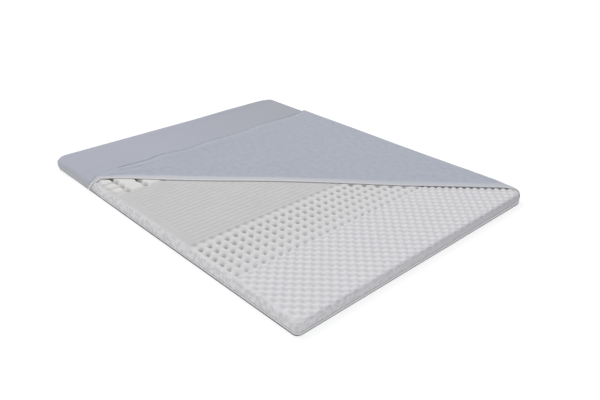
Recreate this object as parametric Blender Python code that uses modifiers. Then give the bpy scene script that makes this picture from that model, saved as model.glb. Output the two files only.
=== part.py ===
"""Zoned foam mattress topper whose zip-off cover is opened and turned back on a diagonal.

Metres, +Z up.  The origin is the middle of the underside, X runs along the short side and
Y along the long side.  The four corners are named by the signs of X and Y: the opened zip
runs from the fold down the -X side, round the corner (-1, -1), along the -Y side and round
the corner (+1, -1).
"""

import math

import bmesh
import bpy
from mathutils import Vector
from mathutils.geometry import delaunay_2d_cdt

# Whole topper
WIDTH = 1.600
LENGTH = 2.000
HEIGHT = 0.0598
CORNER_RADII = {(-1, 1): 0.065, (1, 1): 0.025, (1, -1): 0.072, (-1, -1): 0.025}
CORNER_STEPS = {(-1, 1): 5, (1, 1): 4, (1, -1): 6, (-1, -1): 4}
PIECE_GAP = 0.0004

# Cloth of the cover
SHEET = 0.0025
EDGE_ROUND = 0.02025
BASE_SHEET = 0.0020
BASE_TURN = 0.0040

# Height of the lower half's rim, which slumps where the zip is open: place past the fold, height
RIM_HEIGHTS = (
    {"past": 0.04, "top": 0.0165},
    {"past": 0.14, "top": 0.0100},
    {"past": 0.60, "top": 0.0088},
    {"past": 1.05, "top": 0.0070},
)
RIM_STATIONS_PAST = (0.04, 0.09, 0.14)

# Upper half of the cover: where its rim ends and how the turned-back layer lies
RIM_Z = 0.0190
LAYER_STEP = 0.0040
FOLD_START = -0.1044
FOLD_ROLL = 0.0055
FOLD_ROLL_AT_ENDS = 0.0034
FOLD_ROLL_TAPER = 0.16
FOLD_SETTLE = 0.09
DRIFT_REACH = 0.15
EDGE_CURL = 0.0050
EDGE_CURL_WIDTH = 0.030
FLOOR_TURN = 0.012

# Draw of the cloth along the -X side, toward the opened part, round the fold's end there
END_DRAW = 0.070
END_DRAW_Y = 0.660
END_DRAW_REACH = 0.30
END_DRAW_FROM_X = -0.730
END_DRAW_WIDTH = 0.060

# Sideways drift of the fold: place along the fold, shift across it
FOLD_DRIFT = (
    {"along": -1.10, "shift": 0.002},
    {"along": -0.95, "shift": 0.003},
    {"along": -0.50, "shift": -0.008},
    {"along": 0.05, "shift": 0.009},
    {"along": 0.25, "shift": 0.006},
    {"along": 0.65, "shift": -0.005},
    {"along": 1.00, "shift": 0.000},
    {"along": 1.30, "shift": 0.002},
)

# Drift of the turned-back cloth's far edge: place along X, shift along Y; it fades out over the
# reach and is never more than a share of the cloth's own width there
EDGE_REACH = 0.30
EDGE_SHARE = 0.58
EDGE_DRIFT = (
    {"along": -0.78, "shift": -0.070},
    {"along": -0.70, "shift": -0.068},
    {"along": -0.58, "shift": -0.050},
    {"along": -0.44, "shift": -0.062},
    {"along": -0.34, "shift": -0.048},
    {"along": -0.18, "shift": -0.080},
    {"along": 0.01, "shift": -0.062},
    {"along": 0.22, "shift": -0.074},
    {"along": 0.42, "shift": -0.056},
    {"along": 0.75, "shift": -0.058},
)

# Opened zip
TAPE_WIDTH = 0.0090
TAPE_SHEET = 0.0015
TAPE_SEAM = 0.0013
TAPE_START = 0.018
TAPE_RISE = 0.0007
LOWER_TAPE_STAND = 0.0065
LOWER_TAPE_LEAN = 0.0030
TAPE_END_CLEARANCE = 0.070

# Foam slab
FOAM_INSET = 0.0045
FOAM_BOTTOM = BASE_SHEET + PIECE_GAP
FOAM_BOTTOM_BEVEL = 0.0020
FOAM_TOP = 0.0568
FOAM_OPEN_EDGE = 0.004
FOAM_MARGIN = 0.012
FOAM_RING = 0.0045
FOAM_RING_CLEAR = 0.0015
FOAM_PLAIN_FROM = -0.085
FOAM_PRESS_REACH = 0.060
FOAM_PRESS_STATIONS = (0.02, -0.012, -0.025, -0.036, -0.048, -0.062)

# Egg-crate foot zone: staggered pits
CRATE_CELL = 0.0258
CRATE_FIRST_X = -0.7616
CRATE_FIRST_Y = -0.6290
CRATE_ROWS = 14
CRATE_DEPTH = 0.014

# Zone of deep pits in straight rows
PIT_PITCH_X = 0.0471
PIT_PITCH_Y = 0.0500
PIT_FIRST_X = -0.7531
PIT_FIRST_Y = -0.3400
PIT_ROWS = 6
PIT_DEPTH = 0.024

# Grooved middle zone
GROOVE_PITCH = 0.0305
GROOVE_FIRST_Y = -0.2440
GROOVE_COUNT = 19
GROOVE_DEPTH = 0.006
GROOVE_LEFT_X = -0.752

# Zone of big blocks parted by long channels
CHANNEL_X = (-0.700, -0.600, -0.500)
CHANNEL_HALF_WIDTH = 0.017
CHANNEL_LOW_Y = 0.360
CHANNEL_ROW_PITCH = 0.0625
CHANNEL_ROWS = 5
CHANNEL_DEPTH = 0.018
CHANNEL_PIT_DEPTH = 0.030

# Values that follow from the sizes above
ROOT2 = math.sqrt(2.0)
MID_HEIGHT = HEIGHT - SHEET / 2
MID_ROUND = EDGE_ROUND - SHEET / 2
ROUND_CENTRE_Z = MID_HEIGHT - MID_ROUND
HALF_X = WIDTH / 2 - EDGE_ROUND
HALF_Y = LENGTH / 2 - EDGE_ROUND
QUARTER_ROUND = MID_ROUND * math.pi / 2
BORDER = QUARTER_ROUND + ROUND_CENTRE_Z - RIM_Z
FOLD_ARC = FOLD_ROLL * math.pi
MIRROR_SUM = (2 * FOLD_START - FOLD_ARC) / ROOT2
FLAP_EDGE_Y = MIRROR_SUM + HALF_X + BORDER
GUIDE_TURN = FLOOR_TURN + LAYER_STEP
GUIDE_TURN_Z = SHEET / 2 + PIECE_GAP + FLOOR_TURN
SIDE_DROP = ROUND_CENTRE_Z - GUIDE_TURN_Z

FOAM_TOP_OUT = EDGE_ROUND - FOAM_INSET - FOAM_OPEN_EDGE

END_CELL = 0.009
END_ACROSS = 0.060

# Fine cuts where the fold goes over a side: first and last place along it, reach past it
FOLD_LOW_END = (-1.080, -0.905, END_ACROSS)
FOLD_HIGH_END = (1.124, 1.286, 2 * END_ACROSS)

# Cuts of the flat pattern: first place, last place and count
FOLD_CUTS = (-0.900, 1.050, 18)
EDGE_CUTS = (-0.755, 0.750, 32)

ROUND_STEPS = 4
FOLD_STEPS = 6
TURN_STEPS = 3
CUT_TOLERANCE = 1e-6
CUT_CROWDING = 0.0019

FINISHES = {
    "foam_core": {"colour": (0.62, 0.62, 0.60), "roughness": 0.95},
    "cover_base": {"colour": (0.40, 0.40, 0.42), "roughness": 0.90},
    "cover_top": {"colour": (0.46, 0.48, 0.54), "roughness": 0.88},
    "zip_lower": {"colour": (0.66, 0.66, 0.68), "roughness": 0.70},
    "zip_upper": {"colour": (0.66, 0.66, 0.68), "roughness": 0.70},
}


def clear_scene():
    """Remove every object that the file starts with."""
    for item in list(bpy.data.objects):
        bpy.data.objects.remove(item, do_unlink=True)


def new_collection(name):
    """Make a collection for the topper's pieces."""
    collection = bpy.data.collections.new(name)
    bpy.context.scene.collection.children.link(collection)
    return collection


def finish_for(name):
    """Make the Principled material of one piece."""
    material = bpy.data.materials.new(name + "_finish")
    material.use_nodes = True
    shader = material.node_tree.nodes["Principled BSDF"]
    shader.inputs["Base Color"].default_value = (*FINISHES[name]["colour"], 1.0)
    shader.inputs["Roughness"].default_value = FINISHES[name]["roughness"]
    shader.inputs["Metallic"].default_value = 0.0
    return material


def add_piece(bm, name, collection):
    """Turn a bmesh into a named object with its own material."""
    mesh = bpy.data.meshes.new(name)
    bm.to_mesh(mesh)
    bm.free()
    mesh.materials.append(finish_for(name))
    piece = bpy.data.objects.new(name, mesh)
    collection.objects.link(piece)
    return piece


def thicken(piece, thickness):
    """Give an open sheet its thickness, half to each side."""
    solidify = piece.modifiers.new("thickness", "SOLIDIFY")
    solidify.thickness = thickness
    solidify.offset = 0.0
    solidify.use_rim = True


def ease(value):
    """Smooth step from 0 to 1."""
    value = min(max(value, 0.0), 1.0)
    return value * value * (3.0 - 2.0 * value)


def look_up(table, place):
    """Read a table's second column by its first, with smooth steps between the rows."""
    first, second = table[0]
    if place <= table[0][first]:
        return table[0][second]
    for low, high in zip(table, table[1:]):
        if place <= high[first]:
            share = ease((place - low[first]) / (high[first] - low[first]))
            return low[second] + share * (high[second] - low[second])
    return table[-1][second]


def outline_foot(x, y):
    """Nearest point of the flat top's outline: its place, outward normal and distance."""
    side_x = 1 if x >= 0 else -1
    side_y = 1 if y >= 0 else -1
    radius = CORNER_RADII[(side_x, side_y)] - EDGE_ROUND
    centre = Vector((side_x * (HALF_X - radius), side_y * (HALF_Y - radius)))
    reach = Vector((x, y)) - centre
    if side_x * reach.x > 0 and side_y * reach.y > 0:
        normal = reach.normalized()
        return centre + radius * normal, normal, reach.length - radius
    if side_x * x - HALF_X > side_y * y - HALF_Y:
        return Vector((side_x * HALF_X, y)), Vector((side_x, 0)), side_x * x - HALF_X
    return Vector((x, side_y * HALF_Y)), Vector((0, side_y)), side_y * y - HALF_Y


def side_profile(past):
    """Side line of the lower layer: way out, height and lean of its normal from upright."""
    if past <= QUARTER_ROUND:
        angle = past / MID_ROUND
        return MID_ROUND * math.sin(angle), ROUND_CENTRE_Z + MID_ROUND * math.cos(angle), angle
    down = past - QUARTER_ROUND
    if down <= SIDE_DROP:
        return MID_ROUND, ROUND_CENTRE_Z - down, math.pi / 2
    angle = (down - SIDE_DROP) / GUIDE_TURN
    if angle <= math.pi / 2:
        out = MID_ROUND + GUIDE_TURN * (1 - math.cos(angle))
        return out, GUIDE_TURN_Z - GUIDE_TURN * math.sin(angle), math.pi / 2 - angle
    rest = down - SIDE_DROP - GUIDE_TURN * math.pi / 2
    return MID_ROUND + GUIDE_TURN + rest, GUIDE_TURN_Z - GUIDE_TURN, 0.0


def drape(x, y, lift):
    """Lay a point of the cloth over the slab: flat, round the edge, down, out on the floor."""
    foot, normal, past = outline_foot(x, y)
    if past <= 0:
        return Vector((x, y, MID_HEIGHT + lift))
    out, z, lean = side_profile(past)
    return rise(foot + normal * (out + lift * math.sin(lean)), z + lift * math.cos(lean))


def rise(plan, z):
    """Plan point and height as one 3-D point."""
    return Vector((plan.x, plan.y, z))


def roll_at(along):
    """Radius of the fold's roll, tighter where it meets the side walls."""
    ends = min(along - fold_end(-1), fold_end(1) - along)
    return FOLD_ROLL_AT_ENDS + (FOLD_ROLL - FOLD_ROLL_AT_ENDS) * ease(ends / FOLD_ROLL_TAPER)


def fold_end(side):
    """Place along the fold where it meets the outline of the flat top."""
    if side < 0:
        return -(ROOT2 * HALF_X + FOLD_START)
    return ROOT2 * HALF_Y + FOLD_START - (ROOT2 - 1) * (CORNER_RADII[(1, -1)] - EDGE_ROUND)


def fold(x, y):
    """Turn the flat cloth back on its diagonal: new plan place and lift over the lower layer."""
    along = (x - y) / ROOT2
    across = (x + y) / ROOT2
    past = FOLD_START - across
    roll = roll_at(along)
    drift = look_up(FOLD_DRIFT, along)
    if past <= 0:
        across += drift * ease(1 + past / DRIFT_REACH)
        return (across + along) / ROOT2, (across - along) / ROOT2, 0.0
    if past <= FOLD_ARC:
        angle = math.pi * past / FOLD_ARC
        across = FOLD_START + drift - roll * math.sin(angle)
        return (across + along) / ROOT2, (across - along) / ROOT2, roll * (1 - math.cos(angle))
    beyond = past - FOLD_ARC
    across = FOLD_START + beyond + drift * ease(1 - beyond / DRIFT_REACH)
    lift = LAYER_STEP + (2 * roll - LAYER_STEP) * ease(1 - beyond / FOLD_SETTLE)
    return settle_edge((across + along) / ROOT2, (across - along) / ROOT2, lift, beyond)


def settle_edge(x, y, lift, beyond):
    """Draw the turned-back cloth's far edge in and let it curl up a little."""
    inside = FLAP_EDGE_Y - y
    width = max(inside + ROOT2 * beyond, CUT_CROWDING)
    share = min(max(1 - inside / min(EDGE_REACH, width), 0.0), 1.0)
    drift = max(look_up(EDGE_DRIFT, x), -EDGE_SHARE * width)
    on_top = ease((HALF_X - abs(x)) / EDGE_CURL_WIDTH)
    curl = EDGE_CURL * ease(1 - inside / EDGE_CURL_WIDTH) * on_top * ease(beyond / FOLD_SETTLE)
    return x, y + drift * share, lift + curl


def end_draw(x, y):
    """How far the cloth is drawn along the -X side at a place that it would have without it."""
    near_side = ease((END_DRAW_FROM_X - x) / END_DRAW_WIDTH)
    return END_DRAW * near_side * ease(1 - abs(y - END_DRAW_Y) / END_DRAW_REACH)


def undrawn_across(x, y):
    """Place across the fold that a plan point would have if the cloth weren't drawn."""
    before = y + end_draw(x, y)
    return (x + y + end_draw(x, before)) / ROOT2


def lay_cloth(bm):
    """Fold, draw and drape every point of a flat cloth."""
    for vert in bm.verts:
        x, y, lift = fold(vert.co.x, vert.co.y)
        vert.co = drape(x, y - end_draw(x, y), lift)


def outline_loop(offset, stations=()):
    """Plan points round the outline, moved out from the flat top's outline by offset.

    Stations are extra places along the -X side, listed from high Y to low Y.
    """
    points = [Vector((-HALF_X - offset, place)) for place in stations]
    for sides in ((-1, -1), (1, -1), (1, 1), (-1, 1)):
        side_x, side_y = sides
        radius = CORNER_RADII[sides] - EDGE_ROUND
        centre = Vector((side_x * (HALF_X - radius), side_y * (HALF_Y - radius)))
        first = math.atan2(side_y, side_x) - math.pi / 4
        steps = CORNER_STEPS[sides]
        for step in range(steps + 1):
            angle = first + step * math.pi / 2 / steps
            normal = Vector((math.cos(angle), math.sin(angle)))
            points.append(centre + (radius + offset) * normal)
    return points


def ring_faces(bm, inner, outer, closed=True):
    """Join two rows of points with four-sided faces."""
    count = len(inner)
    last = count if closed else count - 1
    for index in range(last):
        after = (index + 1) % count
        bm.faces.new((inner[index], outer[index], outer[after], inner[after]))


def flat_loop(bm, offset):
    """Add one flat outline loop to a cloth pattern."""
    return [bm.verts.new((point.x, point.y, 0.0)) for point in outline_loop(offset)]


def cut(bm, faces, co, normal):
    """Part faces along a line of the plan."""
    geom = set(faces)
    for face in faces:
        geom.update(face.verts)
        geom.update(face.edges)
    place = Vector((co[0], co[1], 0.0))
    bmesh.ops.bisect_plane(
        bm, geom=list(geom), dist=CUT_TOLERANCE, plane_co=place, plane_no=(normal[0], normal[1], 0.0)
    )


def across_of(face):
    """How far the middle of a pattern face lies past the start of the fold."""
    middle = face.calc_center_median()
    return FOLD_START - (middle.x + middle.y) / ROOT2


def along_of(face):
    """Place of a pattern face along the fold."""
    middle = face.calc_center_median()
    return (middle.x - middle.y) / ROOT2


def cut_across(bm, past):
    """Part the pattern along a line that runs with the fold."""
    place = (FOLD_START - past) / ROOT2
    cut(bm, list(bm.faces), (place, place), (1, 1))


def cut_along(bm, low, high, places):
    """Part the band near the fold at places along it."""
    for along in places:
        band = [face for face in bm.faces if low < across_of(face) < high]
        cut(bm, band, (along / ROOT2, -along / ROOT2), (1, -1))


def cut_fold_end(bm, first, last, reach):
    """Part the pattern finely where the fold goes over the side of the slab."""
    for along in spread(first, last, round((last - first) / END_CELL) + 1):
        band = [face for face in bm.faces if -END_ACROSS < across_of(face) < FOLD_ARC + reach]
        cut(bm, band, (along / ROOT2, -along / ROOT2), (1, -1))
    beyond = [FOLD_ARC + step * END_CELL for step in range(1, round(reach / END_CELL) + 1)]
    before = [-step * END_CELL for step in range(1, round(END_ACROSS / END_CELL))]
    for past in beyond + before:
        place = (FOLD_START - past) / ROOT2
        band = [face for face in bm.faces if first < along_of(face) < last]
        cut(bm, band, (place, place), (1, 1))


def cut_flap(bm, values, turned_x):
    """Part the turned-back cloth where it will lie at given X or Y places."""
    for value in values:
        flap = [face for face in bm.faces if across_of(face) > FOLD_ARC]
        source = MIRROR_SUM - value
        if turned_x:
            cut(bm, flap, (0.0, source), (0, 1))
        else:
            cut(bm, flap, (source, 0.0), (1, 0))


def spread(first, last, count):
    """Evenly spaced values from first to last, both included."""
    return [first + (last - first) * step / (count - 1) for step in range(count)]


def cut_fold_lines(bm):
    """Part a pattern for the fold's roll, the slack beside it and its drift."""
    for past in (-DRIFT_REACH, -DRIFT_REACH / 2):
        cut_across(bm, past)
    for past in spread(0.0, FOLD_ARC, FOLD_STEPS + 1):
        cut_across(bm, past)
    for beyond in (FOLD_SETTLE / 4, FOLD_SETTLE / 2, FOLD_SETTLE, DRIFT_REACH):
        cut_across(bm, FOLD_ARC + beyond)
    reach = FOLD_ARC + DRIFT_REACH
    cut_along(bm, -DRIFT_REACH / 2, reach, spread(*FOLD_CUTS))
    cut_fold_end(bm, *FOLD_LOW_END)
    cut_fold_end(bm, *FOLD_HIGH_END)


def cut_hang_lines(bm):
    """Part a pattern where the turned-back cloth goes over the side and out on the floor."""
    over = [HALF_X + QUARTER_ROUND * step / ROUND_STEPS for step in range(ROUND_STEPS + 1)]
    foot = HALF_X + QUARTER_ROUND + SIDE_DROP
    turn = [foot + GUIDE_TURN * math.pi / 2 * step / TURN_STEPS for step in range(TURN_STEPS + 1)]
    cut_flap(bm, over + turn, True)
    cut_flap(bm, [-place for place in over], True)


def cut_edge_lines(bm):
    """Part a pattern for the curl and drift of the turned-back cloth's far edge."""
    insides = (EDGE_CURL_WIDTH / 2, EDGE_CURL_WIDTH, DRIFT_REACH / 2, DRIFT_REACH, EDGE_REACH)
    cut_flap(bm, [FLAP_EDGE_Y - inside for inside in insides], False)
    for place in spread(*EDGE_CUTS):
        strip = [face for face in bm.faces if in_edge_strip(face)]
        cut(bm, strip, (0.0, MIRROR_SUM - place), (0, 1))


def in_edge_strip(face):
    """Whether a pattern face belongs to the strip along the turned-back far edge."""
    middle = face.calc_center_median()
    turned_y = MIRROR_SUM - middle.x
    return across_of(face) > FOLD_ARC and turned_y > FLAP_EDGE_Y - DRIFT_REACH


def mesh_pattern(bm):
    """Draw points that crowd each other together and mesh the flat pattern with triangles."""
    bmesh.ops.remove_doubles(bm, verts=list(bm.verts), dist=CUT_CROWDING)
    bmesh.ops.triangulate(bm, faces=list(bm.faces))
    bmesh.ops.recalc_face_normals(bm, faces=list(bm.faces))


def build_cover_top(collection):
    """Upper half of the cover: one cloth, cut flat, folded back and draped."""
    bm = bmesh.new()
    rows = [flat_loop(bm, QUARTER_ROUND * step / ROUND_STEPS) for step in range(ROUND_STEPS + 1)]
    rows.append(flat_loop(bm, BORDER))
    bm.faces.new(rows[0])
    for inner, outer in zip(rows, rows[1:]):
        ring_faces(bm, inner, outer)
    cut_fold_lines(bm)
    cut_hang_lines(bm)
    cut_edge_lines(bm)
    mesh_pattern(bm)
    lay_cloth(bm)
    piece = add_piece(bm, "cover_top", collection)
    thicken(piece, SHEET)
    return piece


def build_zip_upper(collection):
    """Upper tape of the opened zip, along the turned-back cloth's free edge."""
    bm = bmesh.new()
    inner = flat_loop(bm, BORDER + TAPE_SEAM)
    outer = flat_loop(bm, BORDER + TAPE_SEAM + TAPE_WIDTH)
    ring_faces(bm, inner, outer)
    start = FOLD_ARC + TAPE_START
    cut_across(bm, start)
    closed_part = [face for face in bm.faces if across_of(face) < start]
    bmesh.ops.delete(bm, geom=closed_part, context="FACES")
    for beyond in (FOLD_SETTLE / 2, FOLD_SETTLE, DRIFT_REACH):
        cut_across(bm, FOLD_ARC + beyond)
    cut_fold_end(bm, *FOLD_LOW_END)
    cut_fold_end(bm, *FOLD_HIGH_END)
    cut_hang_lines(bm)
    cut_flap(bm, spread(*EDGE_CUTS), True)
    mesh_pattern(bm)
    lay_cloth(bm)
    piece = add_piece(bm, "zip_upper", collection)
    thicken(piece, TAPE_SHEET)
    return piece


def rim_top(point):
    """Height of the lower half's rim at a plan point."""
    return look_up(RIM_HEIGHTS, FOLD_START - (point.x + point.y) / ROOT2)


def place_row(bm, out, z):
    """Add a loop of points at one height, moved out from the flat top's outline."""
    return [bm.verts.new((point.x, point.y, z)) for point in outline_loop(out, rim_stations())]


def rim_row(bm, out):
    """Add the loop of points along the lower half's rim."""
    return [bm.verts.new(rise(point, rim_top(point))) for point in outline_loop(out, rim_stations())]


def rim_stations():
    """Places along the -X side where the lower half's rim slumps."""
    return [side_place(FOLD_START - past) for past in RIM_STATIONS_PAST]


def build_cover_base(collection):
    """Lower half of the cover: bottom panel turned up into a low wall."""
    bm = bmesh.new()
    wall = EDGE_ROUND - BASE_SHEET / 2
    floor = BASE_SHEET / 2
    lean = BASE_TURN * (1 - math.cos(math.pi / 4))
    rows = [
        place_row(bm, wall - BASE_TURN, floor),
        place_row(bm, wall - lean, floor + lean),
        place_row(bm, wall, floor + BASE_TURN),
        rim_row(bm, wall),
    ]
    bm.faces.new(rows[0])
    for inner, outer in zip(rows, rows[1:]):
        ring_faces(bm, inner, outer)
    bmesh.ops.recalc_face_normals(bm, faces=list(bm.faces))
    piece = add_piece(bm, "cover_base", collection)
    thicken(piece, BASE_SHEET)
    return piece


def side_place(across):
    """Y place on the -X side that lies at a given place across the fold."""
    return ROOT2 * across + WIDTH / 2


def open_run(point):
    """Whether a rim point lies on the opened side of the cover, clear of the fold's ends."""
    past = FOLD_START - (point.x + point.y) / ROOT2
    return past > FOLD_ARC + TAPE_END_CLEARANCE - TAPE_WIDTH


def rim_path():
    """Plan points and outward normals of the opened rim, from the fold to the fold."""
    middle = EDGE_ROUND - BASE_SHEET / 2
    start = side_place(FOLD_START - FOLD_ARC - TAPE_END_CLEARANCE)
    feet = [point for point in outline_loop(middle, [start]) if open_run(point)]
    return [(point, outline_foot(point.x, point.y)[1]) for point in feet]


def build_zip_lower(collection):
    """Lower tape of the opened zip, standing on the rim of the lower half."""
    bm = bmesh.new()
    low = []
    high = []
    for point, normal in rim_path():
        low_z = rim_top(point) + TAPE_RISE
        low.append(bm.verts.new(rise(point, low_z)))
        high.append(bm.verts.new(rise(point + normal * LOWER_TAPE_LEAN, low_z + LOWER_TAPE_STAND)))
    ring_faces(bm, low, high, closed=False)
    bmesh.ops.recalc_face_normals(bm, faces=list(bm.faces))
    piece = add_piece(bm, "zip_lower", collection)
    thicken(piece, TAPE_SHEET)
    return piece


def covered_at(across):
    """How far the cover presses the slab's edge round: 0 on the bare side, 1 under the cover."""
    return ease((across - FOLD_START + FOAM_PRESS_REACH) / (FOAM_PRESS_REACH - FOAM_MARGIN))


class Pattern:
    """Points and creases of the slab's profiled top, gathered before they are meshed."""

    def __init__(self, outline):
        self.points = [(point.x, point.y) for point in outline]
        self.heights = [FOAM_TOP] * len(outline)
        self.creases = [(index, (index + 1) % len(outline)) for index in range(len(outline))]

    def place(self, x, y, depth):
        """Add a point sunk by depth below the top and give its number."""
        self.points.append((x, y))
        self.heights.append(FOAM_TOP - depth)
        return len(self.points) - 1

    def add(self, x, y, depth):
        """Add a point of a zone, or nothing where it would lie on the margin or under the cover."""
        across = (x + y) / ROOT2
        top_out = FOAM_TOP_OUT * (1 - covered_at(undrawn_across(x, y)))
        edge = outline_foot(x, y)[2] - top_out
        if edge > -FOAM_RING - FOAM_RING_CLEAR or across > FOAM_PLAIN_FROM + FOAM_MARGIN:
            return None
        fade = ease(-edge / FOAM_MARGIN / 2) * ease((FOAM_PLAIN_FROM - across) / FOAM_MARGIN)
        return self.place(x, y, depth * fade)

    def crease(self, first, second):
        """Keep a straight edge between two points that exist."""
        if first is not None and second is not None:
            self.creases.append((first, second))


def margin_ring(pattern):
    """Crease between the flat margin and the profiled zones, along the slab's bare sides."""
    before = None
    for point in outline_loop(FOAM_TOP_OUT - FOAM_RING, press_stations()[-1:]):
        bare = covered_at(undrawn_across(point.x, point.y)) == 0.0
        number = pattern.place(point.x, point.y, 0.0) if bare else None
        pattern.crease(before, number)
        before = number


def crate_zone(pattern):
    """Staggered pits of the foot zone, with ridges from peak to peak."""
    columns = int((WIDTH / 2 - CRATE_FIRST_X) / CRATE_CELL) + 2
    peaks = {}
    for row in range(CRATE_ROWS):
        for column in range(-1, columns):
            pit = (row + column) % 2 == 0
            x = CRATE_FIRST_X + column * CRATE_CELL
            y = CRATE_FIRST_Y - row * CRATE_CELL
            point = pattern.add(x, y, CRATE_DEPTH if pit else 0.0)
            if not pit:
                peaks[(row, column)] = point
    for row, column in peaks:
        for side in (-1, 1):
            pattern.crease(peaks[(row, column)], peaks.get((row + 1, column + side)))


def pit_zone(pattern):
    """Deep pits in straight rows, each between four ridges."""
    columns = int((WIDTH / 2 - PIT_FIRST_X) / PIT_PITCH_X) + 1
    peaks = {}
    for row in range(PIT_ROWS + 1):
        for column in range(columns + 1):
            x = PIT_FIRST_X + (column - 0.5) * PIT_PITCH_X
            y = PIT_FIRST_Y - (row - 0.5) * PIT_PITCH_Y
            peaks[(row, column)] = pattern.add(x, y, 0.0)
            if row < PIT_ROWS and column < columns:
                pattern.add(x + PIT_PITCH_X / 2, y - PIT_PITCH_Y / 2, PIT_DEPTH)
    for row, column in peaks:
        pattern.crease(peaks[(row, column)], peaks.get((row + 1, column)))
        pattern.crease(peaks[(row, column)], peaks.get((row, column + 1)))


def groove_zone(pattern):
    """Shallow grooves from side to side."""
    for line in range(2 * GROOVE_COUNT + 1):
        y = GROOVE_FIRST_Y + (line - 1) * GROOVE_PITCH / 2
        sunk = line % 2 == 1
        right = ROOT2 * FOAM_PLAIN_FROM - y
        inset = GROOVE_PITCH / 2 if sunk else 0.0
        depth = GROOVE_DEPTH if sunk else 0.0
        near = pattern.add(GROOVE_LEFT_X + inset, y, depth)
        middle = pattern.add(right - 2 * FOAM_MARGIN, y, depth)
        far = pattern.add(right, y, 0.0)
        pattern.crease(near, middle)
        pattern.crease(middle, far)


def channel_zone(pattern):
    """Long channels between big blocks, deeper where a cross groove meets them."""
    for channel in CHANNEL_X:
        before = (None, None, None)
        for step in range(-1, 2 * CHANNEL_ROWS):
            y = CHANNEL_LOW_Y + step * CHANNEL_ROW_PITCH / 2
            depth = CHANNEL_PIT_DEPTH if step % 2 == 0 else CHANNEL_DEPTH
            if step < 0:
                depth = 0.0
            left = pattern.add(channel - CHANNEL_HALF_WIDTH, y, 0.0)
            floor = pattern.add(channel, y, depth)
            right = pattern.add(channel + CHANNEL_HALF_WIDTH, y, 0.0)
            for first, second in zip(before, (left, floor, right)):
                pattern.crease(first, second)
            before = (left, floor, right)


def press_stations():
    """Places along the -X side where the slab's edge goes from pressed to bare."""
    places = [side_place(FOLD_START + shift) for shift in FOAM_PRESS_STATIONS]
    return [place - end_draw(-WIDTH / 2, place) for place in places]


def foam_rows(bm):
    """Loops of the slab's side, bottom to top; under the cover the top edge is pressed round."""
    wall = EDGE_ROUND - FOAM_INSET
    press = wall * (1 - math.cos(math.pi / 4))
    bottom = outline_loop(wall - FOAM_BOTTOM_BEVEL, press_stations())
    side = outline_loop(wall, press_stations())
    rows = [[], [], [], [], []]
    for low, point in zip(bottom, side):
        foot, normal, past = outline_foot(point.x, point.y)
        covered = covered_at(undrawn_across(point.x, point.y))
        chamfer = FOAM_OPEN_EDGE / 3
        open_side = ((0.0, FOAM_OPEN_EDGE), (chamfer, chamfer), (FOAM_OPEN_EDGE, 0.0))
        pressed = ((0.0, FOAM_TOP - ROUND_CENTRE_Z), (press, press), (wall, 0.0))
        rows[0].append(bm.verts.new((low.x, low.y, FOAM_BOTTOM)))
        rows[1].append(bm.verts.new((point.x, point.y, FOAM_BOTTOM + FOAM_BOTTOM_BEVEL)))
        for row, bare, tucked in zip(rows[2:], open_side, pressed):
            inset = bare[0] + covered * (tucked[0] - bare[0])
            drop = bare[1] + covered * (tucked[1] - bare[1])
            place = foot + normal * (past - inset)
            row.append(bm.verts.new((place.x, place.y, FOAM_TOP - drop)))
    return rows


def in_hollow_of_outline(verts, numbers, outline_count):
    """Whether a triangle fills a hollow of the outline from outside: its corners run clockwise."""
    if max(numbers) >= outline_count:
        return False
    first, second, third = (verts[number].co for number in sorted(numbers))
    return (second - first).cross(third - first).z < 0


def build_foam_core(collection):
    """Profiled slab: a flat-bottomed block whose bare top is meshed through its peaks and pits."""
    bm = bmesh.new()
    rows = foam_rows(bm)
    for lower, upper in zip(rows, rows[1:]):
        ring_faces(bm, lower, upper)
    bm.faces.new(rows[0])
    top = rows[-1]
    pattern = Pattern([vert.co for vert in top])
    margin_ring(pattern)
    crate_zone(pattern)
    pit_zone(pattern)
    groove_zone(pattern)
    channel_zone(pattern)
    points = [Vector(point) for point in pattern.points]
    meshed = delaunay_2d_cdt(points, pattern.creases, [], 0, CUT_TOLERANCE, True)
    sources = [source[0] for source in meshed[3]]
    verts = list(top)
    for place, height in list(zip(pattern.points, pattern.heights))[len(top):]:
        verts.append(bm.verts.new((*place, height)))
    for face in meshed[2]:
        numbers = [sources[number] for number in face]
        if not in_hollow_of_outline(verts, numbers, len(top)):
            bm.faces.new([verts[number] for number in numbers])
    bmesh.ops.triangulate(bm, faces=list(bm.faces))
    bmesh.ops.recalc_face_normals(bm, faces=list(bm.faces))
    return add_piece(bm, "foam_core", collection)


def main():
    """Build the topper."""
    clear_scene()
    collection = new_collection("mattress_topper")
    build_foam_core(collection)
    build_cover_base(collection)
    build_zip_lower(collection)
    build_cover_top(collection)
    build_zip_upper(collection)


if __name__ == "__main__":
    main()
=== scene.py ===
"""Looks of a zoned foam mattress topper whose zip-off cover is opened and turned back on a diagonal.

Metres, +Z up.  The origin is the middle of the underside, X runs along the short side and Y
along the long side.  The opened zip runs from the fold down the -X side, round the corner
(-1, -1), along the -Y side and round the corner (+1, -1).
"""

import logging
import math
from dataclasses import dataclass
from enum import Enum

import bmesh
import bpy
import numpy as np
from mathutils import Matrix, Vector


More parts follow.
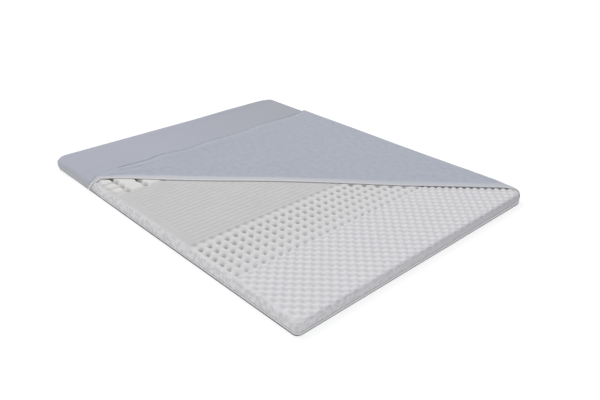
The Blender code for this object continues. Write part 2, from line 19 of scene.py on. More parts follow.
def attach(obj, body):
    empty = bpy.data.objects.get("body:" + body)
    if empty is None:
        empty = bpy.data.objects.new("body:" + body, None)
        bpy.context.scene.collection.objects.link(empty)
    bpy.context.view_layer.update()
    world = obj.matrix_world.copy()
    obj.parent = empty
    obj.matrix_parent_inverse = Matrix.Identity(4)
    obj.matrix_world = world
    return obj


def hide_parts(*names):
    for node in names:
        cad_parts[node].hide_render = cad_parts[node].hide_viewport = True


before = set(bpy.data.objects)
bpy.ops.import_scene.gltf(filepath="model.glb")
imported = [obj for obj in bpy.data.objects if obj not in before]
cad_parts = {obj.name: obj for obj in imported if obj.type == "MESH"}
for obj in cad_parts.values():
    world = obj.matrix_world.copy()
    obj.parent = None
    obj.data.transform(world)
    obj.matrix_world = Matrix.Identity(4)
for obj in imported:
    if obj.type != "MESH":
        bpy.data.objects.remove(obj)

LOG = logging.getLogger("topper")
ROOT2 = math.sqrt(2.0)
QUARTER = math.pi / 2
TINY = 1e-9

Array = np.ndarray
Socket = bpy.types.NodeSocket
Material = bpy.types.Material
Piece = bpy.types.Object


def ease(value: Array) -> Array:
    """Smooth step from 0 to 1; numbers below 0 count as 0 and those above 1 as 1."""
    value = np.clip(value, 0.0, 1.0)
    return value * value * (3.0 - 2.0 * value)


def look_up(table: tuple, place: Array) -> Array:
    """Read a table of (place, value) rows, in rising order of place, with smooth steps between them.

    Args:
        table: The rows.
        place: Places to read it at.

    Returns:
        The values.
    """
    places, values = np.array(table).T
    after = np.clip(np.searchsorted(places, place), 1, len(table) - 1)
    share = ease((place - places[after - 1]) / (places[after] - places[after - 1]))
    return values[after - 1] + share * (values[after] - values[after - 1])


class Run(Enum):
    """A stretch of the zip, seen round the topper."""

    OPEN = "open"
    CLOSED = "closed"


@dataclass(frozen=True)
class Form:
    """Sizes that the pieces share.

    The large ones are those of the solids; turns, corners and small rises are fitted more finely.
    A mid size is that of the middle of the cloth's thickness.  The low turn is the cloth's turn from
    the side out on the floor.
    """

    width: float = 1.600
    length: float = 2.000
    edge_round: float = 0.02025
    mid_height: float = 0.05855
    mid_round: float = 0.0190
    low_turn: float = 0.0160
    low_turn_z: float = 0.01365
    radii: tuple = ((-1, 1, 0.065), (1, 1, 0.036), (1, -1, 0.070), (-1, -1, 0.025))
    rim_z: float = 0.0190
    layer_step: float = 0.0040
    fold_start: float = -0.1044
    fold_roll: float = 0.0025
    fold_roll_at_ends: float = 0.0024
    fold_roll_taper: float = 0.16
    fold_settle: float = 0.09
    fold_drift: tuple = (
        (-1.10, -0.020), (-1.00, -0.018), (-0.78, -0.003), (-0.50, -0.008), (0.05, 0.009),
        (0.25, 0.006), (0.65, -0.005), (1.00, 0.000), (1.16, 0.000), (1.275, -0.030), (1.40, -0.034),
    )
    drift_reach: float = 0.15
    side_lift: float = 0.0060
    side_lift_width: float = 0.080
    edge_curl: float = -0.0014
    edge_curl_width: float = 0.026
    edge_reach: float = 0.30
    edge_share: float = 0.58
    edge_drift: tuple = (
        (-0.78, -0.070), (-0.70, -0.068), (-0.58, -0.050), (-0.44, -0.062), (-0.34, -0.048),
        (-0.18, -0.080), (0.01, -0.062), (0.22, -0.074), (0.42, -0.056), (0.75, -0.058),
    )
    end_draw_size: float = 0.070
    end_draw_y: float = 0.660
    end_draw_reach: float = 0.30
    end_draw_from: float = -0.730
    end_draw_width: float = 0.060
    rim_heights: tuple = ((0.04, 0.0165), (0.14, 0.0090), (0.60, 0.0080), (1.05, 0.0065))
    rim_rise: tuple = ((0.005, 0.0), (0.012, 0.024), (0.026, 0.020), (0.070, 0.0))
    rim_rise_from: float = 0.60
    sag: float = 0.0040
    sag_reach: float = 0.070
    sag_blend: float = 0.3
    stand_from: float = 0.10
    stand_blend: float = 0.35
    stand_end: float = 0.14
    soft_z: float = 0.025
    soft_depth: float = 0.03
    bulge: float = 0.0050
    bulge_y: float = 0.72
    bulge_reach: float = 0.16
    bulge_blend: float = 0.02

    @property
    def round_centre_z(self) -> float:
        """Height of the centre of the cloth's turn over the slab's edge."""
        return self.mid_height - self.mid_round

    @property
    def half_x(self) -> float:
        """Half the flat top's width."""
        return self.width / 2 - self.edge_round

    @property
    def half_y(self) -> float:
        """Half the flat top's length."""
        return self.length / 2 - self.edge_round

    @property
    def quarter_round(self) -> float:
        """Cloth length of the turn over the edge."""
        return self.mid_round * QUARTER

    @property
    def border(self) -> float:
        """Cloth length from the flat top's outline to the rim."""
        return self.quarter_round + self.round_centre_z - self.rim_z

    @property
    def fold_arc(self) -> float:
        """Cloth length of the fold's roll."""
        return self.fold_roll * math.pi

    @property
    def mirror_sum(self) -> float:
        """X of a laid place plus Y of its place in the flat cloth, beyond the fold."""
        return (2 * self.fold_start - self.fold_arc) / ROOT2

    @property
    def flap_edge_y(self) -> float:
        """Y of the turned-back cloth's far edge, before its drift."""
        return self.mirror_sum + self.half_x + self.border

    @property
    def side_drop(self) -> float:
        """Straight length down the side between its two turns."""
        return self.round_centre_z - self.low_turn_z

    def quarter(self, x: Array, y: Array) -> tuple:
        """Quarter of the plan that places lie in.

        Args:
            x: Plan places along X.
            y: Plan places along Y.

        Returns:
            The signs of X and Y, the flat top's corner radius there, and its centre's X and Y.
        """
        side_x = np.where(x >= 0, 1.0, -1.0)
        side_y = np.where(y >= 0, 1.0, -1.0)
        radius = np.zeros_like(side_x)
        for sign_x, sign_y, size in self.radii:
            radius[(side_x == sign_x) & (side_y == sign_y)] = size - self.edge_round
        return side_x, side_y, radius, side_x * (self.half_x - radius), side_y * (self.half_y - radius)

    def foot(self, x: Array, y: Array) -> tuple:
        """Nearest point of the flat top's outline.

        Args:
            x: Plan places along X.
            y: Plan places along Y.

        Returns:
            The point's X and Y, the outward normal's X and Y, and the distance past the outline.
        """
        side_x, side_y, radius, centre_x, centre_y = self.quarter(x, y)
        reach = np.maximum(np.hypot(x - centre_x, y - centre_y), TINY)
        past_x = side_x * x - self.half_x
        past_y = side_y * y - self.half_y
        corner = (side_x * (x - centre_x) > 0) & (side_y * (y - centre_y) > 0)
        parts = [corner, past_x > past_y]
        normal_x = np.select(parts, [(x - centre_x) / reach, side_x], 0.0)
        normal_y = np.select(parts, [(y - centre_y) / reach, 0.0], side_y)
        foot_x = np.select(parts, [centre_x + radius * normal_x, side_x * self.half_x], x)
        foot_y = np.select(parts, [centre_y + radius * normal_y, y], side_y * self.half_y)
        past = np.where(corner, reach - radius, np.maximum(past_x, past_y))
        return foot_x, foot_y, normal_x, normal_y, past

    def round_corners(self, x: Array, y: Array) -> tuple:
        """Draw a square grid's corners in to the outline's round ones.

        Args:
            x: Places of the grid along X.
            y: Places of the grid along Y.

        Returns:
            The new X and Y.
        """
        side_x, side_y, _, centre_x, centre_y = self.quarter(x, y)
        out_x = np.maximum(side_x * (x - centre_x), 0.0)
        out_y = np.maximum(side_y * (y - centre_y), 0.0)
        corner = (out_x > 0) & (out_y > 0)
        share = np.maximum(out_x, out_y) / np.maximum(np.hypot(out_x, out_y), TINY)
        new_x = np.where(corner, centre_x + side_x * out_x * share, x)
        new_y = np.where(corner, centre_y + side_y * out_y * share, y)
        return new_x, new_y

    def side_profile(self, past: Array) -> tuple:
        """Line of the lower layer over the edge, down the side and out on the floor.

        Args:
            past: Cloth length past the flat top's outline.

        Returns:
            The way out, the height, and the lean of the normal from upright.
        """
        angle = past / self.mid_round
        down = past - self.quarter_round
        turn = np.clip((down - self.side_drop) / self.low_turn, 0.0, QUARTER)
        rest = np.maximum(down - self.side_drop - self.low_turn * QUARTER, 0.0)
        parts = [past <= self.quarter_round, down <= self.side_drop]
        low_out = self.mid_round + self.low_turn * (1 - np.cos(turn)) + rest
        low_height = self.low_turn_z - self.low_turn * np.sin(turn)
        over_height = self.round_centre_z + self.mid_round * np.cos(angle)
        out = np.select(parts, [self.mid_round * np.sin(angle), self.mid_round], low_out)
        height = np.select(parts, [over_height, self.round_centre_z - down], low_height)
        return out, height, np.select(parts, [angle, QUARTER], QUARTER - turn)

    def drape(self, x: Array, y: Array, lift: Array) -> Array:
        """Lay plan places over the slab: flat, round the edge, down and out on the floor.

        Args:
            x: Plan places along X.
            y: Plan places along Y.
            lift: Distance over the lower layer.

        Returns:
            The points, one in each row.
        """
        foot_x, foot_y, normal_x, normal_y, past = self.foot(x, y)
        out, height, lean = self.side_profile(np.maximum(past, 0.0))
        way = out + lift * np.sin(lean)
        raised = height + lift * np.cos(lean)
        flat = np.column_stack((x, y, self.mid_height + lift))
        down = np.column_stack((foot_x + normal_x * way, foot_y + normal_y * way, raised))
        return np.where(past[:, None] <= 0, flat, down)

    def fold_end(self, side: int) -> float:
        """Place along the fold where it meets the flat top's outline.

        Args:
            side: -1 for the end on the -X side, 1 for the end at the corner (+1, -1).

        Returns:
            The place.
        """
        if side < 0:
            return -(ROOT2 * self.half_x + self.fold_start)
        radius = self.radii[2][2] - self.edge_round
        return ROOT2 * self.half_y + self.fold_start - (ROOT2 - 1) * radius

    def fold(self, x: Array, y: Array) -> tuple:
        """Turn the flat cloth back on its diagonal.

        Args:
            x: Places in the flat cloth along X.
            y: Places in the flat cloth along Y.

        Returns:
            The laid plan places and the lift over the lower layer.
        """
        along = (x - y) / ROOT2
        across = (x + y) / ROOT2
        past = self.fold_start - across
        beyond = past - self.fold_arc
        parts = [past <= 0, beyond <= 0]
        ends = np.minimum(along - self.fold_end(-1), self.fold_end(1) - along)
        taper = ease(ends / self.fold_roll_taper)
        roll = self.fold_roll_at_ends + (self.fold_roll - self.fold_roll_at_ends) * taper
        angle = math.pi * np.clip(past / self.fold_arc, 0.0, 1.0)
        drift = look_up(self.fold_drift, along)
        before = across + drift * ease(1 + past / self.drift_reach)
        in_roll = self.fold_start + drift - roll * np.sin(angle)
        turned = self.fold_start + beyond + drift * ease(1 - beyond / self.drift_reach)
        new_across = np.select(parts, [before, in_roll], turned)
        settled = self.layer_step + (2 * roll - self.layer_step) * ease(1 - beyond / self.fold_settle)
        lift = np.select(parts, [0.0, roll * (1 - np.cos(angle))], settled)
        new_x = (new_across + along) / ROOT2
        new_y = (new_across - along) / ROOT2
        inside = self.flap_edge_y - new_y
        width = np.maximum(inside + ROOT2 * beyond, 0.002)
        share = np.clip(1 - inside / np.minimum(self.edge_reach, width), 0.0, 1.0) * (beyond > 0)
        shift = np.maximum(look_up(self.edge_drift, new_x), -self.edge_share * width) * share
        on_top = ease((self.half_x - np.abs(new_x)) / self.edge_curl_width)
        curl = self.edge_curl * ease(1 - inside / self.edge_curl_width) * on_top
        rise = self.side_lift * ease((new_x - self.half_x + self.side_lift_width) / self.side_lift_width)
        return new_x, new_y + shift, lift + (curl + rise) * ease(beyond / self.fold_settle)

    def end_draw(self, x: Array, y: Array) -> Array:
        """How far the cloth is drawn along the -X side, at places that it would have without it."""
        near_side = ease((self.end_draw_from - x) / self.end_draw_width)
        return self.end_draw_size * near_side * ease(1 - np.abs(y - self.end_draw_y) / self.end_draw_reach)

    def past_fold(self, x: Array, y: Array) -> Array:
        """Distance of plan places from the fold of an undrawn cloth, above 0 on the bare side."""
        return self.fold_start + look_up(self.fold_drift, (x - y) / ROOT2) - (x + y) / ROOT2

    def past_cover(self, x: Array, y: Array) -> Array:
        """Distance of plan places from the drawn cloth's fold, above 0 on the bare side."""
        return self.past_fold(x, y) - self.end_draw(x, y + self.end_draw(x, y)) / ROOT2

    def rise_at(self, x: Array, y: Array) -> Array:
        """How far the lower half's rim rises to the fold's +X end."""
        return look_up(self.rim_rise, self.past_fold(x, y)) * (x > self.rim_rise_from)

    def rim_top(self, x: Array, y: Array) -> Array:
        """Height of the lower half's rim, which slumps where the zip is open."""
        return look_up(self.rim_heights, self.past_fold(x, y)) + self.rise_at(x, y)

    def sunk(self, x: Array, y: Array, z: Array) -> Array:
        """Sink the slab along its +X side, but let it stand along a part of +Y.

        Args:
            x: Plan places along X.
            y: Plan places along Y.
            z: Heights before.

        Returns:
            The heights after.
        """
        near_x = ease(1 - (self.half_x - x) / self.sag_reach)
        near_y = ease(1 - (self.half_y - y) / self.sag_reach)
        begun = ease((x - self.stand_from) / self.stand_blend)
        ended = ease((self.half_x + 0.01 - x) / self.stand_end)
        sink = self.sag * (near_x - near_y * begun * ended) * ease((x + y) / ROOT2 / self.sag_blend)
        return z - sink * ease((z - self.soft_z) / self.soft_depth)

    def lay(self, x: Array, y: Array, lift: Array) -> Array:
        """Draw, drape and sink folded places of the cloth.

        Args:
            x: Laid plan places along X.
            y: Laid plan places along Y.
            lift: Distance over the lower layer.

        Returns:
            The points, one in each row.
        """
        y = y - self.end_draw(x, y)
        laid = self.drape(x, y, lift)
        laid[:, 2] = self.sunk(x, y, laid[:, 2])
        near_back = ease((y - self.bulge_y) / self.bulge_reach)
        over_edge = ease((-x - self.half_x) / self.bulge_blend)
        laid[:, 0] -= self.bulge * np.minimum(near_back, over_edge)
        return laid


FORM = Form()


class Nodes:
    """Short way to write a material's node tree."""

    def __init__(self, name: str) -> None:
        """Start a Principled material.

        Args:
            name: The material's name.
        """
        self.material = bpy.data.materials.new(name)
        self.material.use_nodes = True
        self.tree = self.material.node_tree
        self.shader = self.tree.nodes["Principled BSDF"]

    def add(self, kind: str, inputs: dict | None = None, **settings: object) -> bpy.types.Node:
        """Add a node.

        Args:
            kind: The node's type, without its ShaderNode prefix.
            inputs: Socket name or number to a value, or to the socket that feeds it.
            settings: The node's own settings.

        Returns:
            The node.
        """
        node = self.tree.nodes.new("ShaderNode" + kind)
        for key, value in settings.items():
            setattr(node, key, value)
        for key, value in (inputs or {}).items():
            self.feed(node.inputs[key], value)
        return node

    def feed(self, socket: Socket, value: object) -> None:
        """Set a socket, or link it where the value is a socket.

        Args:
            socket: The socket to set.
            value: Its value, or the socket that feeds it.
        """
        if isinstance(value, Socket):
            self.tree.links.new(value, socket)
        else:
            socket.default_value = value

    def math(self, operation: str, first: object, *others: object) -> Socket:
        """Work out one value, or a row of them in pairs from the left, with Math nodes.

        Args:
            operation: The nodes' operation.
            first: The first value or socket.
            others: The next ones.

        Returns:
            The result.
        """
        for other in others or (0.0,):
            first = self.add("Math", {0: first, 1: other}, operation=operation).outputs[0]
        return first

    def scaled(self, value: Socket, size: float, shift: float) -> Socket:
        """Scale a value and shift it."""
        return self.add("Math", {0: value, 1: size, 2: shift}, operation="MULTIPLY_ADD").outputs[0]

    def wave(self, kind: str, value: Socket, turn: float) -> Socket:
        """Sine or cosine of a value times a factor."""
        return self.math(kind, self.math("MULTIPLY", value, turn))

    def ramp(self, value: Socket, start: float, end: float, high: float = 1.0, low: float = 0.0) -> Socket:
        """Straight ramp between two places of a value, level outside them."""
        return self.add("MapRange", {0: value, 1: start, 2: end, 3: low, 4: high}).outputs[0]

    def noise(self, where: Socket, scale: float, detail: float = 2.0) -> Socket:
        """Add a Noise texture and give its strength."""
        return self.add("TexNoise", {"Vector": where, "Scale": scale, "Detail": detail}).outputs[0]

    def tint(self, share: object, first: object, second: object) -> Socket:
        """Mix two colours, each a tuple or a socket.

        Args:
            share: Share of the second colour, from 0 to 1.
            first: The first colour.
            second: The second colour.

        Returns:
            The mixed colour.
        """
        mix = self.add("Mix", data_type="RGBA")
        self.feed(mix.inputs[0], share)
        for number, colour in ((6, first), (7, second)):
            self.feed(mix.inputs[number], (*colour, 1.0) if isinstance(colour, tuple) else colour)
        return mix.outputs[2]

    def bump(self, height: object, distance: float, strength: float, under: object = None) -> Socket:
        """Bump a surface.

        Args:
            height: Height of the surface.
            distance: How far it rises.
            strength: Strength of the bump.
            under: Normal that it starts from, where there is one.

        Returns:
            The bumped normal.
        """
        inputs = {"Height": height, "Distance": distance, "Strength": strength}
        if under is not None:
            inputs["Normal"] = under
        return self.add("Bump", inputs).outputs[0]

    def place(self) -> Socket:
        """Object coordinates."""
        return self.add("TexCoord").outputs["Object"]

    def flat(self) -> tuple:
        """The piece's own flat coordinates, then each of the two."""
        where = self.add("UVMap", uv_map="flat").outputs[0]
        return where, *list(self.add("SeparateXYZ", {0: where}).outputs)[:2]

    def past_outline(self, x: Socket, y: Socket) -> Socket:
        """Distance of places in the flat cloth past the flat top's outline.

        Args:
            x: Places in the flat cloth along X.
            y: Places in the flat cloth along Y.

        Returns:
            The distance.
        """
        past_x = self.math("SUBTRACT", self.math("ABSOLUTE", x), FORM.half_x)
        past_y = self.math("SUBTRACT", self.math("ABSOLUTE", y), FORM.half_y)
        return self.math("MAXIMUM", past_x, past_y)

    def finish(self, colour: object, roughness: float, sheen: float, normal: object) -> Material:
        """Set the shader's sockets.

        Args:
            colour: Base colour socket.
            roughness: Surface roughness.
            sheen: Weight of the soft fibre sheen.
            normal: Bumped normal socket.

        Returns:
            The material.
        """
        values = {
            "Base Color": colour, "Roughness": roughness, "Sheen Weight": sheen,
            "Sheen Roughness": 0.6, "Specular IOR Level": 0.25, "Normal": normal,
        }
        for key, value in values.items():
            self.feed(self.shader.inputs[key], value)
        return self.material


@dataclass(frozen=True)
class KnitFinish:
    """Outer face of the cover: a fine knit with small raised loops."""

    name: str = "cover_outer"
    light: tuple = (0.455, 0.465, 0.535)
    dark: tuple = (0.405, 0.415, 0.480)
    border: tuple = (0.430, 0.436, 0.462)
    # Painted shade: the cloth is mixed toward this darker colour toward +X.
    far_shade: tuple = (0.372, 0.382, 0.432)
    far_shade_from: float = -0.3
    far_shade_to: float = 0.8
    far_shade_share: float = 0.9
    border_from: float = 0.006
    border_to: float = 0.030
    loop: float = 0.0030
    loop_share: float = 0.35
    wales_to_courses: float = 1.4
    cloud_scale: float = 5.0
    relief: float = 0.0006
    relief_strength: float = 0.6
    roughness: float = 0.9
    sheen: float = 0.15

    def tone(self, nodes: Nodes, x: Socket, y: Socket, share: Socket) -> Socket:
        """Colour of the cloth, greyer on its border, with painted shade that darkens it toward +X.

        Args:
            nodes: The material's nodes.
            x: Places in the flat cloth along X.
            y: Places in the flat cloth along Y.
            share: Pattern of the knit, from 0 to 1.

        Returns:
            The colour.
        """
        on_side = nodes.ramp(nodes.past_outline(x, y), self.border_from, self.border_to)
        # Painted shade that darkens the cloth toward +X.
        far = nodes.ramp(x, self.far_shade_from, self.far_shade_to, self.far_shade_share)
        colour = nodes.tint(on_side, nodes.tint(share, self.dark, self.light), self.border)
        return nodes.tint(far, colour, self.far_shade)

    def make(self) -> Material:
        """Make the material, with its loops in the cloth's own flat coordinates.

        Returns:
            The material.
        """
        nodes = Nodes(self.name)
        flat, x, y = nodes.flat()
        turn = math.pi / self.loop
        courses = nodes.wave("SINE", x, turn)
        wales = nodes.wave("SINE", y, turn * self.wales_to_courses)
        loops = nodes.math("ABSOLUTE", nodes.math("MULTIPLY", courses, wales))
        cloud = nodes.math("MULTIPLY", nodes.noise(flat, self.cloud_scale), 1 - self.loop_share)
        share = nodes.math("ADD", nodes.math("MULTIPLY", loops, self.loop_share), cloud)
        normal = nodes.bump(loops, self.relief, self.relief_strength)
        return nodes.finish(self.tone(nodes, x, y, share), self.roughness, self.sheen, normal)


@dataclass(frozen=True)
class HemFinish(KnitFinish):
    """Lower half of the cover: a plainer knit, with painted contact shadow on the low wall of its opened
    long side.
    """

    name: str = "cover_lower"
    light: tuple = (0.480, 0.480, 0.490)
    dark: tuple = (0.440, 0.440, 0.450)
    # Painted contact shadow on the low wall of the opened -X side.
    contact_shade: tuple = (0.165, 0.165, 0.165)
    corner: tuple = (0.700, 0.700, 0.710)
    corner_low: float = 0.0175
    corner_high: float = 0.0210
    contact_shade_out: float = 0.016
    contact_shade_blend: float = 0.004
    contact_shade_power: float = 0.6
    contact_shade_from: float = 0.62
    contact_shade_to: float = 0.20

    def tone(self, nodes: Nodes, x: Socket, y: Socket, share: Socket) -> Socket:
        """Colour of the cloth: painted contact shadow on the opened -X side's low wall grows darker away
        from the fold, and the raised corner is pale.

        Args:
            nodes: The material's nodes.
            x: Places in the flat cloth along X.
            y: Places in the flat cloth along Y.
            share: Pattern of the knit, from 0 to 1.

        Returns:
            The colour.
        """
        # Painted contact shadow: the -X side's low wall darkens, more so away from the fold.
        side = -FORM.half_x - self.contact_shade_out
        wall = nodes.ramp(x, side, side - self.contact_shade_blend)
        away = nodes.ramp(y, self.contact_shade_from, self.contact_shade_to)
        contact_shaded = nodes.math("MULTIPLY", wall, nodes.math("POWER", away, self.contact_shade_power))
        colour = nodes.tint(contact_shaded, nodes.tint(share, self.dark, self.light), self.contact_shade)
        height = nodes.add("SeparateXYZ", {0: nodes.place()}).outputs[2]
        return nodes.tint(nodes.ramp(height, self.corner_low, self.corner_high), colour, self.corner)


@dataclass(frozen=True)
class MeshFinish:
    """Inner face of the cover: an airy spacer mesh with rows of small holes."""

    name: str = "cover_inner"
    light: tuple = (0.442, 0.465, 0.531)
    dark: tuple = (0.310, 0.330, 0.387)
    # Painted highlight on the fold's roll.
    fold: tuple = (0.780, 0.772, 0.775)
    # Painted highlight on the flap beside the roll and along its free edge's rim.
    strip: tuple = (0.560, 0.565, 0.595)
    hole: float = 0.0055
    hole_share: float = 0.42
    rib: float = 0.0113
    rib_share: float = 0.22
    rib_patches: tuple = (0.45, 0.65)
    rib_patch_scale: float = 4.0
    cloud_share: float = 0.16
    cloud_scale: float = 3.0
    mottle_share: float = 0.75
    mottle_scale: float = 32.0
    lift: float = 0.37
    fold_lit_width: float = 0.004
    strip_from: float = 0.026
    strip_to: float = 0.046
    top_from: float = 0.10
    top_to: float = 0.06
    # Where the painted highlights fade, and how far, toward the fold's +X end.
    right: tuple = (-0.1, 0.7)
    right_share: float = 0.6
    # Painted highlight along the rim of the flap's free edge.
    ridge: tuple = (0.050, 0.026)
    ridge_share: float = 0.25
    relief: float = 0.0008
    relief_strength: float = 0.6
    roughness: float = 0.92
    sheen: float = 0.10

    def pattern(self, nodes: Nodes, flat: Socket, x: Socket, y: Socket) -> tuple:
        """Holes and uneven tone of the mesh.

        Args:
            nodes: The material's nodes.
            flat: Places in the flat cloth.
            x: The same along X.
            y: The same along Y.

        Returns:
            The share of the dark colour, and the holes.
        """
        turn = 2 * math.pi / self.hole
        checks = nodes.math("MULTIPLY", nodes.wave("COSINE", x, turn), nodes.wave("COSINE", y, turn))
        holes = nodes.math("POWER", nodes.scaled(checks, 0.5, 0.5), 2.0)
        ribs = nodes.wave("COSINE", nodes.math("SUBTRACT", x, y), 2 * math.pi / self.rib)
        patches = nodes.ramp(nodes.noise(flat, self.rib_patch_scale), *self.rib_patches)
        faint = nodes.math("MULTIPLY", ribs, patches, self.rib_share)
        share = nodes.math("ADD", nodes.math("MULTIPLY", holes, self.hole_share), faint)
        cloud = nodes.math("MULTIPLY", nodes.noise(flat, self.cloud_scale), self.cloud_share)
        mottle = nodes.math("MULTIPLY", nodes.noise(flat, self.mottle_scale, 1.0), self.mottle_share)
        share = nodes.math("ADD", share, nodes.math("ADD", cloud, mottle))
        return nodes.math("SUBTRACT", share, self.lift), holes

    def make(self) -> Material:
        """Make the material, with its holes in the cloth's own flat coordinates.

        Returns:
            The material.
        """
        nodes = Nodes(self.name)
        flat, x, y = nodes.flat()
        share, holes = self.pattern(nodes, flat, x, y)
        solid = nodes.math("SUBTRACT", 1.0, holes)
        normal = nodes.bump(solid, self.relief, self.relief_strength)
        across = nodes.math("DIVIDE", nodes.math("ADD", x, y), -ROOT2)
        past = nodes.math("ADD", across, FORM.fold_start)
        # Painted highlight on the fold's roll, from near its -X end and weaker toward its +X end.
        fold_lit = nodes.ramp(past, FORM.fold_arc + self.fold_lit_width, FORM.fold_arc)
        # Painted highlight on the band of the flap beside the roll, and below along the rim of its free
        # edge.
        band_lit = nodes.ramp(past, FORM.fold_arc + self.strip_to, FORM.fold_arc + self.strip_from)
        along = nodes.math("DIVIDE", nodes.math("SUBTRACT", x, y), ROOT2)
        begin = FORM.fold_end(-1)
        on_top = nodes.ramp(along, begin - self.top_from, begin - self.top_to)
        right = nodes.ramp(along, *self.right, self.right_share, 1.0)
        fold_lit = nodes.math("MULTIPLY", fold_lit, on_top, right)
        rim = nodes.math("SUBTRACT", FORM.border, nodes.past_outline(x, y))
        ridge = nodes.ramp(rim, *self.ridge, self.ridge_share)
        band_lit = nodes.math("MAXIMUM", nodes.math("MULTIPLY", band_lit, right), ridge)
        panel = nodes.tint(band_lit, nodes.tint(share, self.light, self.dark), self.strip)
        colour = nodes.tint(fold_lit, panel, self.fold)
        return nodes.finish(colour, self.roughness, self.sheen, normal)


@dataclass(frozen=True)
class FoamFinish:
    """Open-cell foam: matt, pored and slightly warm."""

    name: str = "foam"
    light: tuple = (0.595, 0.588, 0.588)
    dark: tuple = (0.520, 0.512, 0.500)
    bright: tuple = (0.705, 0.695, 0.690)
    crate: tuple = (0.720, 0.708, 0.730)
    block: tuple = (0.715, 0.705, 0.685)
    # Painted light: the sides are paler than the plain top.
    side: tuple = (0.700, 0.695, 0.710)
    speck: tuple = (0.590, 0.585, 0.600)
    # Painted shade on the -Y side, deepening toward +X.
    end: tuple = (0.445, 0.435, 0.465)
    # Painted shade deep in the pits.
    deep: tuple = (0.260, 0.255, 0.245)
    pits_end: tuple = (-0.32, -0.29)
    pits_relief: float = 0.7
    crate_begins: tuple = (-0.45, -0.70)
    blocks_begin: tuple = (0.33, 0.36)
    blocks_inside: tuple = (-0.775, -0.752)
    blocks_share: float = 0.9
    pit_shade_heights: tuple = (0.045, 0.030)
    pit_shade_share: float = 0.9
    shade_facing: tuple = (-0.2, -0.9)
    shade_across: tuple = (-1.2, 0.7)
    side_past: tuple = (-0.010, 0.012)
    cell_scale: float = 60.0
    cell_edges: tuple = (0.40, 0.60)
    cloud_scale: float = 9.0
    pore: float = 0.0016
    pore_share: float = 0.3
    pore_depth: float = 0.0005
    soft_depth: float = 0.0012
    roughness: float = 0.97
    sheen: float = 0.05
    scatter: float = 0.5
    scatter_colour: tuple = (1.0, 0.95, 0.9)
    scatter_reach: float = 0.006

    def top_tone(self, nodes: Nodes, place: Socket, share: Socket) -> Socket:
        """Colour of the profiled top, zone by zone, with painted shade deep in the pits.

        Args:
            nodes: The material's nodes.
            place: Object coordinates.
            share: Pattern of the pores, from 0 to 1.

        Returns:
            The colour.
        """
        across, along, height = nodes.add("SeparateXYZ", {0: place}).outputs
        past_pits = nodes.ramp(along, *self.pits_end)
        blocks = nodes.ramp(along, *self.blocks_begin)
        fill = nodes.math("MULTIPLY", nodes.math("SUBTRACT", 1.0, past_pits), self.pits_relief)
        relief = nodes.tint(nodes.ramp(along, *self.crate_begins), self.bright, self.crate)
        skin = nodes.tint(fill, nodes.tint(share, self.dark, self.light), relief)
        inner = nodes.ramp(across, *self.blocks_inside, self.blocks_share)
        skin = nodes.tint(nodes.math("MULTIPLY", blocks, inner), skin, self.block)
        # Painted shade deep in the pits.
        return nodes.tint(nodes.ramp(height, *self.pit_shade_heights, self.pit_shade_share), skin, self.deep)

    def side_tone(self, nodes: Nodes, place: Socket, way: Socket) -> Socket:
        """Colour of the speckled sides, with painted light that makes them paler than the plain top and
        painted shade on the -Y side toward +X.

        Args:
            nodes: The material's nodes.
            place: Object coordinates.
            way: Y of the side's outward normal.

        Returns:
            The colour.
        """
        across = nodes.add("SeparateXYZ", {0: place}).outputs[0]
        # Painted shade on the -Y side, deepening toward +X.
        facing = nodes.ramp(way, *self.shade_facing)
        on_shaded_end = nodes.math("MULTIPLY", facing, nodes.ramp(across, *self.shade_across))
        cells = nodes.ramp(nodes.noise(place, self.cell_scale, 0.0), *self.cell_edges)
        return nodes.tint(on_shaded_end, nodes.tint(cells, self.speck, self.side), self.end)

    def make(self) -> Material:
        """Make the material, in object coordinates and, on the sides, the piece's own.

        Returns:
            The material.
        """
        nodes = Nodes(self.name)
        place = nodes.place()
        pores = nodes.add("TexVoronoi", {"Vector": place, "Scale": 1 / self.pore}).outputs["Distance"]
        cloud = nodes.math("MULTIPLY", nodes.noise(place, self.cloud_scale, 4.0), 1 - self.pore_share)
        share = nodes.math("ADD", nodes.math("MULTIPLY", pores, self.pore_share), cloud)
        soft = nodes.bump(nodes.noise(place, self.cell_scale, 3.0), self.soft_depth, 0.35)
        normal = nodes.bump(pores, self.pore_depth, 0.45, soft)
        nodes.shader.inputs["Subsurface Weight"].default_value = self.scatter
        nodes.shader.inputs["Subsurface Radius"].default_value = self.scatter_colour
        nodes.shader.inputs["Subsurface Scale"].default_value = self.scatter_reach
        _, past, way = nodes.flat()
        top = self.top_tone(nodes, place, share)
        side = self.side_tone(nodes, place, way)
        # The sides carry painted light and, on -Y, painted shade.
        colour = nodes.tint(nodes.ramp(past, *self.side_past), top, side)
        return nodes.finish(colour, self.roughness, self.sheen, normal)


